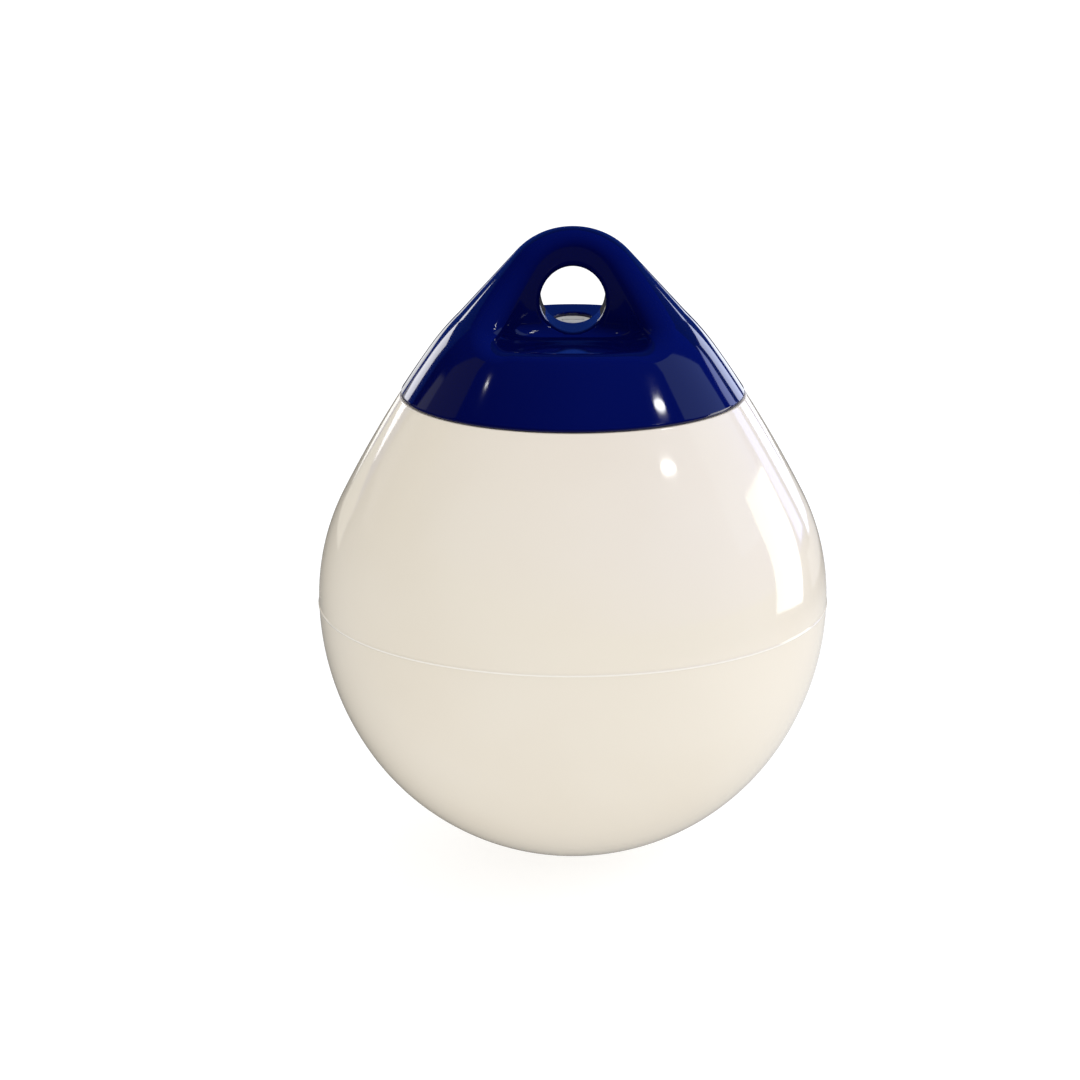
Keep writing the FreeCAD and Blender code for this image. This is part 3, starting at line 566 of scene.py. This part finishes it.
def scoop_cutter(plan, side):
    """An upright oval bar with a leaning underside, to cut one scoop with."""
    eye = plan.eye
    reach = 2 * eye.crown_radius
    place = (0.0, side * plan.scoop_middle, plan.floor - plan.eye_height + reach / 2)
    cutter = round_cutter("scoop", eye.scoop_radius, place, reach)
    bpy.ops.object.mode_set(mode="EDIT")
    bpy.ops.mesh.select_all(action="SELECT")
    bpy.ops.transform.resize(value=(1.0, math.cos(eye.floor_tilt), 1.0), center_override=place)
    bpy.ops.object.mode_set(mode="OBJECT")
    for point in cutter.data.vertices:
        if point.co.z < place[2]:
            point.co.z += side * point.co.y * math.tan(eye.floor_tilt)
    return cutter


def settle(piece, plan, rounds=12, step=0.001):
    """Bring every point onto the true surface, by steps, and take its shading from it."""
    mesh = piece.data
    places = np.empty(len(mesh.vertices) * 3)
    mesh.vertices.foreach_get("co", places)
    points = places.reshape(-1, 3).copy()
    points[:, 2] += plan.eye_height
    for _ in range(rounds):
        depth, face = eye_surface(plan, points)
        points -= np.clip(depth, -step, step)[:, None] * face
    depth, face = eye_surface(plan, points)
    points[:, 2] -= plan.eye_height
    mesh.vertices.foreach_set("co", points.reshape(-1))
    mesh.update()
    mesh.normals_split_custom_set_from_vertices([tuple(direction) for direction in face])
    return float(np.abs(depth).max())


class BUOY_OT_rope_eye(bpy.types.Operator):
    """Build the solid rope eye"""
    bl_idname = "buoy.rope_eye"
    bl_label = "Rope eye"

    def execute(self, context):
        plan = Plan()
        eye, valve = plan.eye, plan.valve
        piece = draw_eye(plan)
        turn_round(steps=180)
        for side in (-1.0, 1.0):
            cut_away(piece, scoop_cutter(plan, side), "scoop")
        hole = round_cutter("rope_hole", eye.eye_radius, (0.0, 0.0, 0.0), HOLE_CUT, along_y=True)
        cut_away(piece, hole, "rope_hole")
        seat_place = (0.0, valve.valve_offset, plan.seat - plan.eye_height + VALVE_CUT / 2)
        seat = round_cutter("seat", valve.flange_radius + valve.seat_clearance, seat_place, VALVE_CUT)
        cut_away(piece, seat, "seat")
        passage_place = (0.0, valve.valve_offset, plan.seat - plan.eye_height)
        passage = round_cutter("passage", valve.sleeve_radius, passage_place, VALVE_CUT)
        cut_away(piece, passage, "passage")
        finish_modifier(
            piece, "REMESH", "even_mesh", mode="VOXEL", voxel_size=eye.grain_size, adaptivity=0.0,
        )
        bpy.ops.object.shade_smooth()
        print("rope eye settled within", settle(piece, plan), "m,", len(piece.data.polygons), "faces")
        give(piece, navy_vinyl(), "rope_eye")
        return {"FINISHED"}


# The air valve

# Edges that turn by more than these are rounded, and shaded as edges
ROUNDED_FROM, SHADED_FROM = math.radians(25.0), math.radians(20.0)


def turned_part(name, corners, plan, steps=96):
    """Turn a straight-sided outline, round its edges and set it on the valve's axis."""
    lift = -plan.eye_height
    piece = start_outline(name, (corners[0][0], corners[0][1] + lift))
    pencil = Pencil(corners[0], lift)
    closed = corners[0][0] > 0
    for place in corners[1:] + (corners[:1] if closed else []):
        pencil.to(place)
    turn_round(steps)
    finish_modifier(
        piece, "BEVEL", "edges", width=plan.valve.edge_rounding, segments=3,
        limit_method="ANGLE", angle_limit=ROUNDED_FROM,
    )
    bpy.ops.object.mode_set(mode="EDIT")
    bpy.ops.mesh.select_all(action="SELECT")
    bpy.ops.transform.translate(value=(0.0, plan.valve.valve_offset, 0.0))
    bpy.ops.object.mode_set(mode="OBJECT")
    return piece


class BUOY_OT_air_valve(bpy.types.Operator):
    """Build the air valve and the screw that closes it"""
    bl_idname = "buoy.air_valve"
    bl_label = "Air valve"

    def execute(self, context):
        plan = Plan()
        valve = plan.valve
        under = plan.deck - plan.body.wall
        top = plan.seat + valve.flange_thickness
        recess = top - valve.recess_depth
        insert = turned_part("valve_insert", [
            (valve.bore_radius, under - valve.barb_length),
            (valve.barb_tip, under - valve.barb_length),
            (valve.barb_radius, under),
            (valve.sleeve_radius, under),
            (valve.sleeve_radius, plan.seat),
            (valve.flange_radius, plan.seat),
            (valve.flange_radius, top),
            (valve.recess_radius, top),
            (valve.recess_radius, recess),
            (valve.bore_radius, recess),
        ], plan)
        bpy.ops.object.shade_smooth_by_angle(angle=SHADED_FROM)
        give(insert, nylon(), "valve_body")
        shank, head = valve.bore_radius - valve.thread_gap, valve.recess_radius - valve.head_gap
        tip = recess - valve.screw_reach
        screw = turned_part("slotted_screw", [
            (0.0, tip),
            (shank - valve.screw_tip, tip),
            (shank, tip + valve.screw_tip),
            (shank, recess),
            (head, recess),
            (head, top),
            (0.0, top),
        ], plan)
        bpy.ops.object.select_all(action="DESELECT")
        slot_place = (0.0, valve.valve_offset, top - plan.eye_height)
        bpy.ops.mesh.primitive_cube_add(size=1.0, location=slot_place)
        slot = bpy.context.object
        slot.scale = (4 * head, valve.slot_width, 2 * valve.slot_depth)
        bpy.ops.object.transform_apply(location=True, rotation=True, scale=True)
        cut_away(screw, slot, "slot")
        bpy.ops.object.shade_smooth_by_angle(angle=SHADED_FROM)
        give(screw, nylon(), "valve_screw")
        return {"FINISHED"}


# Finishes

# Sockets of a Mix node that is set to colour: its share, its two colours and what it puts out
SHARE, FIRST, SECOND, MIXED = 0, 6, 7, 2


def new_group(name, inputs, outputs):
    """A node group with named number and colour sockets."""
    group = bpy.data.node_groups.new(name, "ShaderNodeTree")
    for label, kind, default in inputs:
        socket = group.interface.new_socket(label, in_out="INPUT", socket_type=kind)
        socket.default_value = default
    for label, kind in outputs:
        group.interface.new_socket(label, in_out="OUTPUT", socket_type=kind)
    return group, group.nodes.new("NodeGroupInput"), group.nodes.new("NodeGroupOutput")


def node(tree, kind, **settings):
    """A node with its settings; inputs are given by name in a dictionary."""
    made = tree.nodes.new(kind)
    inputs = settings.pop("inputs", {})
    for key, value in settings.items():
        setattr(made, key, value)
    for key, value in inputs.items():
        made.inputs[key].default_value = value
    return made


def connect(tree, *links):
    """Join nodes: each link is a node and its output, then a node and its input."""
    for source, output, target, entry in links:
        tree.links.new(source.outputs[output], target.inputs[entry])


def moulded_skin():
    """What every moulded skin shows: slow waves, fine grain, uneven colour and gloss."""
    found = bpy.data.node_groups.get("Moulded skin")
    if found:
        return found
    colour_kind, number_kind = "NodeSocketColor", "NodeSocketFloat"
    group, entry, exit_node = new_group(
        "Moulded skin",
        (
            ("Colour", colour_kind, (0.8, 0.8, 0.8, 1.0)),
            ("Shade", colour_kind, (0.7, 0.7, 0.7, 1.0)),
            ("Roughness", number_kind, 0.2),
            ("Unevenness", number_kind, 0.03),
            ("Wave scale", number_kind, 18.0),
            ("Wave share", number_kind, 1.0),
            ("Grain scale", number_kind, 900.0),
            ("Grain share", number_kind, 0.02),
        ),
        (("Colour", colour_kind), ("Roughness", number_kind), ("Height", number_kind)),
    )
    place = node(group, "ShaderNodeTexCoord")
    cloud = node(group, "ShaderNodeTexNoise", inputs={"Scale": 6.0, "Detail": 3.0, "Roughness": 0.5})
    wave = node(group, "ShaderNodeTexNoise", inputs={"Detail": 1.0, "Roughness": 0.4})
    grain = node(group, "ShaderNodeTexNoise", inputs={"Detail": 2.0, "Roughness": 0.6})
    patches = node(
        group, "ShaderNodeMapRange", interpolation_type="SMOOTHSTEP",
        inputs={"From Min": 0.36, "From Max": 0.64},
    )
    mix = node(group, "ShaderNodeMix", data_type="RGBA")
    swing = node(group, "ShaderNodeMath", operation="MULTIPLY_ADD", inputs={1: 2.0, 2: -1.0})
    uneven = node(group, "ShaderNodeMath", operation="MULTIPLY_ADD")
    waves = node(group, "ShaderNodeMath", operation="MULTIPLY")
    height = node(group, "ShaderNodeMath", operation="MULTIPLY_ADD")
    connect(
        group,
        (place, "Object", cloud, "Vector"),
        (place, "Object", wave, "Vector"),
        (place, "Object", grain, "Vector"),
        (entry, "Wave scale", wave, "Scale"),
        (entry, "Grain scale", grain, "Scale"),
        (cloud, "Fac", patches, "Value"),
        (patches, "Result", mix, SHARE),
        (entry, "Colour", mix, FIRST),
        (entry, "Shade", mix, SECOND),
        (mix, MIXED, exit_node, "Colour"),
        (patches, "Result", swing, 0),
        (swing, 0, uneven, 0),
        (entry, "Unevenness", uneven, 1),
        (entry, "Roughness", uneven, 2),
        (uneven, 0, exit_node, "Roughness"),
        (wave, "Fac", waves, 0),
        (entry, "Wave share", waves, 1),
        (grain, "Fac", height, 0),
        (entry, "Grain share", height, 1),
        (waves, 0, height, 2),
        (height, 0, exit_node, "Height"),
    )
    return group


def level_line():
    """A mask for a level line round a piece, by its height and width."""
    found = bpy.data.node_groups.get("Level line")
    if found:
        return found
    number_kind = "NodeSocketFloat"
    group, entry, exit_node = new_group(
        "Level line", (("Height", number_kind, 0.0), ("Width", number_kind, 0.001)), (("Mask", number_kind),),
    )
    place = node(group, "ShaderNodeTexCoord")
    apart = node(group, "ShaderNodeSeparateXYZ")
    half = node(group, "ShaderNodeMath", operation="MULTIPLY", inputs={1: 0.5})
    near = node(group, "ShaderNodeMath", operation="COMPARE")
    connect(
        group,
        (place, "Object", apart, 0),
        (entry, "Width", half, 0),
        (apart, "Z", near, 0),
        (entry, "Height", near, 1),
        (half, 0, near, 2),
        (near, 0, exit_node, "Mask"),
    )
    return group


def skin_material(name, colour, shade, roughness, relief_depth, ior, **values):
    """A material whose colour, gloss and small relief come from the moulded skin."""
    material = bpy.data.materials.get(name)
    if material:
        return material
    material = bpy.data.materials.new(name)
    material.use_nodes = True
    tree = material.node_tree
    principled = tree.nodes["Principled BSDF"]
    principled.inputs["IOR"].default_value = ior
    skin = node(tree, "ShaderNodeGroup", node_tree=moulded_skin())
    skin.inputs["Colour"].default_value = (*colour, 1.0)
    skin.inputs["Shade"].default_value = (*shade, 1.0)
    skin.inputs["Roughness"].default_value = roughness
    for key, value in values.items():
        skin.inputs[key.replace("_", " ").capitalize()].default_value = value
    relief = node(tree, "ShaderNodeBump", inputs={"Strength": 1.0, "Distance": relief_depth})
    connect(
        tree,
        (skin, "Colour", principled, "Base Color"),
        (skin, "Roughness", principled, "Roughness"),
        (skin, "Height", relief, "Height"),
        (relief, "Normal", principled, "Normal"),
    )
    return material


def white_vinyl():
    """Glossy cream-white vinyl, a little uneven as blown skins are, with a painted highlight along its parting line.
    """
    finish, plan = bpy.context.scene.buoy_finish, Plan()
    material = skin_material(
        "white vinyl", finish.white, finish.white_shade, finish.white_gloss, relief_depth=0.0004, ior=1.50,
        unevenness=0.02, wave_scale=14.0, wave_share=1.0, grain_scale=1400.0, grain_share=0.004,
    )
    tree = material.node_tree
    principled = tree.nodes["Principled BSDF"]
    skin = principled.inputs["Base Color"].links[0].from_node
    # Painted highlight: the parting line gets a lighter colour, standing in for the light that its small bead
    # catches from above
    line = node(tree, "ShaderNodeGroup", node_tree=level_line())
    line.inputs["Height"].default_value = -plan.eye_height - plan.body.seam_drop
    line.inputs["Width"].default_value = plan.body.seam_width / 2
    mix = node(tree, "ShaderNodeMix", data_type="RGBA", inputs={SECOND: (*finish.seam_highlight, 1.0)})
    connect(
        tree,
        (line, "Mask", mix, SHARE),
        (skin, "Colour", mix, FIRST),
        (mix, MIXED, principled, "Base Color"),
    )
    return material


def navy_vinyl():
    """Polished deep navy vinyl."""
    finish = bpy.context.scene.buoy_finish
    return skin_material(
        "navy vinyl", finish.navy, finish.navy_shade, finish.navy_gloss, relief_depth=0.00015, ior=1.50,
        unevenness=0.02, wave_scale=22.0, wave_share=1.0, grain_scale=1400.0, grain_share=0.006,
    )


def nylon():
    """Satin natural nylon."""
    finish = bpy.context.scene.buoy_finish
    return skin_material(
        "valve nylon", finish.nylon, finish.nylon_shade, finish.nylon_gloss, relief_depth=0.0002, ior=1.53,
        unevenness=0.06, wave_scale=160.0, wave_share=0.4, grain_scale=3200.0, grain_share=0.06,
    )


# The stage

# Lens and frame in millimetres, the picture's shift as shares of the frame, and how far the camera sees
CAMERA_LENS, CAMERA_FRAME = 99.1, 36.0
CAMERA_SHIFT = (-0.0304, 0.0035)
CAMERA_REACH = 50.0

# The backdrop reaches a little below the floor
FLOOR_SIZE, BACKDROP_SIZE = 14.0, 8.0
BACKDROP_DISTANCE, BACKDROP_SINK = 4.0, 0.1
STAGE_TINT = (0.4, 0.4, 0.4)

# What the lights face, near the middle of the buoy
MIDDLE = Vector((0.0, 0.0, -0.14))

# The mirrored floor turns to its lit tone, a painted pool of light, along this way, between these places on it,
# and between these distances from the rope hole
LIT_WAY, LIT_START, LIT_FULL = (1.0, 0.6, 0.0), -0.15, 0.3
LIT_REACH, LIT_CLOSE = 0.9, 0.5

# The ways in which the mirrored room turns blue and the soft light grows, and what they start from
BLUE_WAY, BLUE_START = (0.4, 0.0, 0.9), 0.05
SOFT_WAY, SOFT_START = (0.12, 0.0, 0.34), 0.79

# Small softboxes: name, azimuth and rise in degrees, width and height, power, tint, roll in degrees
SOFTBOXES = (
    ("key_high", 74.2, 43.0, (0.30, 0.07), 1.6, (1.0, 0.99, 0.97), -25.0),
    ("key_low", 64.0, 38.5, (0.36, 0.06), 1.3, (1.0, 0.99, 0.97), -20.0),
    ("left_light", -81.0, 43.0, (0.08, 0.025), 0.13, (1.0, 0.97, 0.93), 27.0),
)

# Glowing panels: name, low and high corners from left to right as azimuth and rise, colour, distance
PANELS = (
    ("right_panel", ((94.0, -8.6), (116.0, -10.9), (99.5, 21.4), (124.0, 13.5)), (3.6, 3.6, 3.6), 0.86),
    ("right_wall", ((86.0, 16.0), (124.0, 14.0), (90.0, 50.0), (124.0, 24.0)), (0.30, 0.44, 1.20), 2.6),
    ("right_strip", ((129.5, 0.0), (137.5, 0.0), (129.5, 18.0), (137.0, 21.0)), (1.1, 1.3, 2.6), 2.4),
    ("right_band", ((141.6, -5.0), (152.0, -5.0), (141.8, 17.0), (152.0, 15.0)), (2.0, 2.2, 3.1), 2.4),
    ("right_end", ((152.0, -5.0), (166.0, -5.0), (157.5, 4.0), (166.0, 4.0)), (2.0, 2.1, 2.4), 2.4),
    ("right_low", ((127.0, -10.8), (156.0, -10.8), (127.0, -3.5), (156.0, -3.5)), (0.42, 0.42, 0.44), 0.88),
    ("left_band", ((-151.0, 5.5), (-139.8, 5.5), (-152.5, 15.0), (-141.0, 18.0)), (3.2, 3.2, 3.4), 2.4),
    ("left_end", ((-167.0, -5.0), (-154.0, -5.0), (-167.0, 4.0), (-157.0, 4.0)), (1.5, 1.5, 1.5), 2.4),
    ("left_low", ((-153.0, -5.0), (-134.0, -5.0), (-153.0, 5.0), (-134.0, 5.0)), (0.6, 0.58, 0.52), 2.5),
    ("left_strip", ((-132.5, 10.0), (-118.0, 10.0), (-124.0, 23.0), (-118.0, 26.0)), (0.26, 0.26, 0.27), 2.4),
    ("left_wall", ((-118.0, 10.0), (-90.0, 14.0), (-118.0, 26.0), (-95.0, 47.0)), (0.09, 0.09, 0.09), 2.5),
)


def toward(azimuth, rise):
    """A direction, in degrees: azimuth from the camera's side, growing to the right, and rise."""
    turn, up = math.radians(azimuth), math.radians(rise)
    return Vector((math.sin(turn) * math.cos(up), -math.cos(turn) * math.cos(up), math.sin(up)))


def softbox(name, azimuth, rise, size, power, tint, roll, distance=2.6):
    """An oval softbox that faces the buoy."""
    data = bpy.data.lights.new(name, "AREA")
    data.shape = "ELLIPSE"
    data.size, data.size_y = size
    data.energy, data.color = power, tint
    lamp = bpy.data.objects.new(name, data)
    bpy.context.scene.collection.objects.link(lamp)
    direction = toward(azimuth, rise)
    turn = direction.to_track_quat("Z", "Y") @ Quaternion((0.0, 0.0, 1.0), math.radians(roll))
    lamp.location = MIDDLE + direction * distance
    lamp.rotation_euler = turn.to_euler()


def panel(name, corners, colour, distance):
    """A glowing panel round the buoy, given by its corners; the camera doesn't see it."""
    bpy.ops.object.select_all(action="DESELECT")
    bpy.ops.mesh.primitive_plane_add(size=1.0)
    piece = bpy.context.object
    piece.name = piece.data.name = name
    for point, corner in zip(piece.data.vertices, corners):
        point.co = MIDDLE + toward(*corner) * distance
    material = bpy.data.materials.new(name)
    material.use_nodes = True
    tree = material.node_tree
    glow = node(tree, "ShaderNodeEmission", inputs={"Color": (*colour, 1.0), "Strength": 1.0})
    connect(tree, (glow, 0, tree.nodes["Material Output"], 0))
    piece.data.materials.append(material)
    piece.visible_camera = False
    return piece


def stage_material(name, glow, mirrored, lit):
    """A plain pale surface that also glows a little.

    Polished skins mirror it in a painted tone of its own, which turns into a painted pool of light close to the
    buoy.
    """
    material = bpy.data.materials.new(name)
    material.use_nodes = True
    tree = material.node_tree
    principled = tree.nodes["Principled BSDF"]
    principled.inputs["Base Color"].default_value = (*STAGE_TINT, 1.0)
    principled.inputs["Roughness"].default_value = 0.9
    principled.inputs["Specular IOR Level"].default_value = 0.0
    principled.inputs["Emission Color"].default_value = (1.0, 1.0, 1.0, 1.0)
    principled.inputs["Emission Strength"].default_value = glow
    path = node(tree, "ShaderNodeLightPath")
    place = node(tree, "ShaderNodeTexCoord")
    across = node(tree, "ShaderNodeVectorMath", operation="DOT_PRODUCT", inputs={1: LIT_WAY})
    share = node(
        tree, "ShaderNodeMapRange", interpolation_type="SMOOTHSTEP",
        inputs={"From Min": LIT_START, "From Max": LIT_FULL},
    )
    reach = node(tree, "ShaderNodeVectorMath", operation="LENGTH")
    close = node(
        tree, "ShaderNodeMapRange", interpolation_type="SMOOTHSTEP",
        inputs={"From Min": LIT_REACH, "From Max": LIT_CLOSE},
    )
    both = node(tree, "ShaderNodeMath", operation="MULTIPLY")
    tones = node(
        tree, "ShaderNodeMix", data_type="RGBA",
        inputs={FIRST: (*mirrored, 1.0), SECOND: (*lit, 1.0)},
    )
    image = node(tree, "ShaderNodeEmission", inputs={"Strength": 1.0})
    mix = node(tree, "ShaderNodeMixShader")
    connect(
        tree,
        (place, "Object", across, 0),
        (across, "Value", share, "Value"),
        (place, "Object", reach, 0),
        (reach, "Value", close, "Value"),
        (share, "Result", both, 0),
        (close, "Result", both, 1),
        (both, 0, tones, SHARE),
        (tones, MIXED, image, "Color"),
        (path, "Is Glossy Ray", mix, 0),
        (principled, 0, mix, 1),
        (image, 0, mix, 2),
        (mix, 0, tree.nodes["Material Output"], 0),
    )
    return material


def room_light():
    """Soft light from all sides; polished skins mirror a dark room, blue above and on the right."""
    world = bpy.data.worlds.new("studio")
    bpy.context.scene.world = world
    world.use_nodes = True
    tree = world.node_tree
    tree.nodes.clear()
    path = node(tree, "ShaderNodeLightPath")
    place = node(tree, "ShaderNodeTexCoord")
    lean = node(tree, "ShaderNodeVectorMath", operation="DOT_PRODUCT", inputs={1: BLUE_WAY})
    shift = node(tree, "ShaderNodeMath", operation="ADD", inputs={1: BLUE_START})
    share = node(tree, "ShaderNodeMath", operation="MAXIMUM", inputs={1: 0.0})
    height = node(tree, "ShaderNodeVectorMath", operation="DOT_PRODUCT", inputs={1: SOFT_WAY})
    bright = node(tree, "ShaderNodeMath", operation="ADD", inputs={1: SOFT_START})
    soft = node(tree, "ShaderNodeBackground", inputs={"Color": (1.0, 0.99, 0.97, 1.0)})
    dark = node(tree, "ShaderNodeBackground", inputs={"Color": (0.01, 0.06, 1.0, 1.0)})
    mix = node(tree, "ShaderNodeMixShader")
    out = node(tree, "ShaderNodeOutputWorld")
    connect(
        tree,
        (place, "Generated", lean, 0),
        (lean, "Value", shift, 0),
        (shift, 0, share, 0),
        (place, "Generated", height, 0),
        (height, "Value", bright, 0),
        (bright, 0, soft, "Strength"),
        (share, 0, dark, "Strength"),
        (path, "Is Glossy Ray", mix, 0),
        (soft, 0, mix, 1),
        (dark, 0, mix, 2),
        (mix, 0, out, 0),
    )


class BUOY_OT_stage(bpy.types.Operator):
    """Set the floor, the backdrop, the lights and the camera"""
    bl_idname = "buoy.stage"
    bl_label = "Stage"

    def execute(self, context):
        scene = context.scene
        place = scene.buoy_stage
        floor_height = CAD_BOX[0][2] - place.floor_gap
        bpy.ops.object.select_all(action="DESELECT")
        bpy.ops.mesh.primitive_plane_add(size=FLOOR_SIZE, location=(0.0, 0.0, floor_height))
        floor = bpy.context.object
        floor.name = "floor"
        # Painted reflection: polished skins see the floor dark, with a painted pool of light close to the buoy, on
        # its right and behind it
        floor.data.materials.append(
            stage_material("floor", glow=0.69, mirrored=(0.05, 0.05, 0.05), lit=(0.65, 0.65, 0.65)),
        )
        middle = floor_height + BACKDROP_SIZE / 2 - BACKDROP_SINK
        bpy.ops.mesh.primitive_plane_add(
            size=BACKDROP_SIZE, location=(0.0, BACKDROP_DISTANCE, middle), rotation=(math.pi / 2, 0.0, 0.0),
        )
        back = bpy.context.object
        back.name = "backdrop"
        # Painted reflection: polished skins see the backdrop as a dim blue glow
        back.data.materials.append(
            stage_material("backdrop", glow=0.90, mirrored=(0.01, 0.04, 0.26), lit=(0.01, 0.04, 0.26)),
        )
        for item in (floor, back):
            bpy.ops.object.select_all(action="DESELECT")
            item.select_set(True)
            bpy.context.view_layer.objects.active = item
            bpy.ops.object.transform_apply(location=True, rotation=True, scale=True)
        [panel(*row) for row in PANELS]
        room_light()
        for row in SOFTBOXES:
            softbox(*row)
        camera_data = bpy.data.cameras.new("camera")
        camera_data.lens, camera_data.sensor_width = CAMERA_LENS, CAMERA_FRAME
        camera_data.shift_x, camera_data.shift_y = CAMERA_SHIFT
        camera_data.clip_end = CAMERA_REACH
        camera = bpy.data.objects.new("camera", camera_data)
        scene.collection.objects.link(camera)
        rise = place.camera_rise
        camera.location = (
            0.0,
            -place.camera_distance * math.cos(rise),
            place.camera_distance * math.sin(rise) - place.camera_target,
        )
        camera.rotation_euler = (math.pi / 2 - rise, 0.0, 0.0)
        scene.camera = camera
        scene.view_settings.view_transform = "Standard"
        return {"FINISHED"}


# The add-on

class BUOY_PT_panel(bpy.types.Panel):
    """Lists the steps and sizes of the buoy"""
    bl_idname = "BUOY_PT_panel"
    bl_label = "Mooring buoy"
    bl_space_type = "VIEW_3D"
    bl_region_type = "UI"
    bl_category = "Buoy"

    def draw(self, context):
        layout = self.layout
        for step in STEPS:
            layout.operator(step.bl_idname)
        for group in GROUPS:
            column = layout.column(align=True)
            column.label(text=group.__doc__)
            owner = getattr(context.scene, GROUPS[group])
            for name in group.__annotations__:
                column.prop(owner, name)


GROUPS = {
    BuoyFloatSizes: "buoy_float",
    BuoyEyeSizes: "buoy_eye",
    BuoyValveSizes: "buoy_valve",
    BuoyFinish: "buoy_finish",
    BuoyStage: "buoy_stage",
}
STEPS = (BUOY_OT_float, BUOY_OT_rope_eye, BUOY_OT_air_valve, BUOY_OT_stage)
CLASSES = (*GROUPS, *STEPS, BUOY_PT_panel)


def register():
    """Add the sizes, the steps and the panel."""
    for item in CLASSES:
        bpy.utils.register_class(item)
    for group, name in GROUPS.items():
        setattr(bpy.types.Scene, name, PointerProperty(type=group))


def unregister():
    """Take them away again."""
    for name in GROUPS.values():
        delattr(bpy.types.Scene, name)
    for item in reversed(CLASSES):
        bpy.utils.unregister_class(item)


def main():
    """Build every piece and the stage."""
    register()
    bpy.ops.buoy.float()
    bpy.ops.buoy.rope_eye()
    bpy.ops.buoy.air_valve()
    bpy.ops.buoy.stage()


if __name__ == "__main__":
    main()
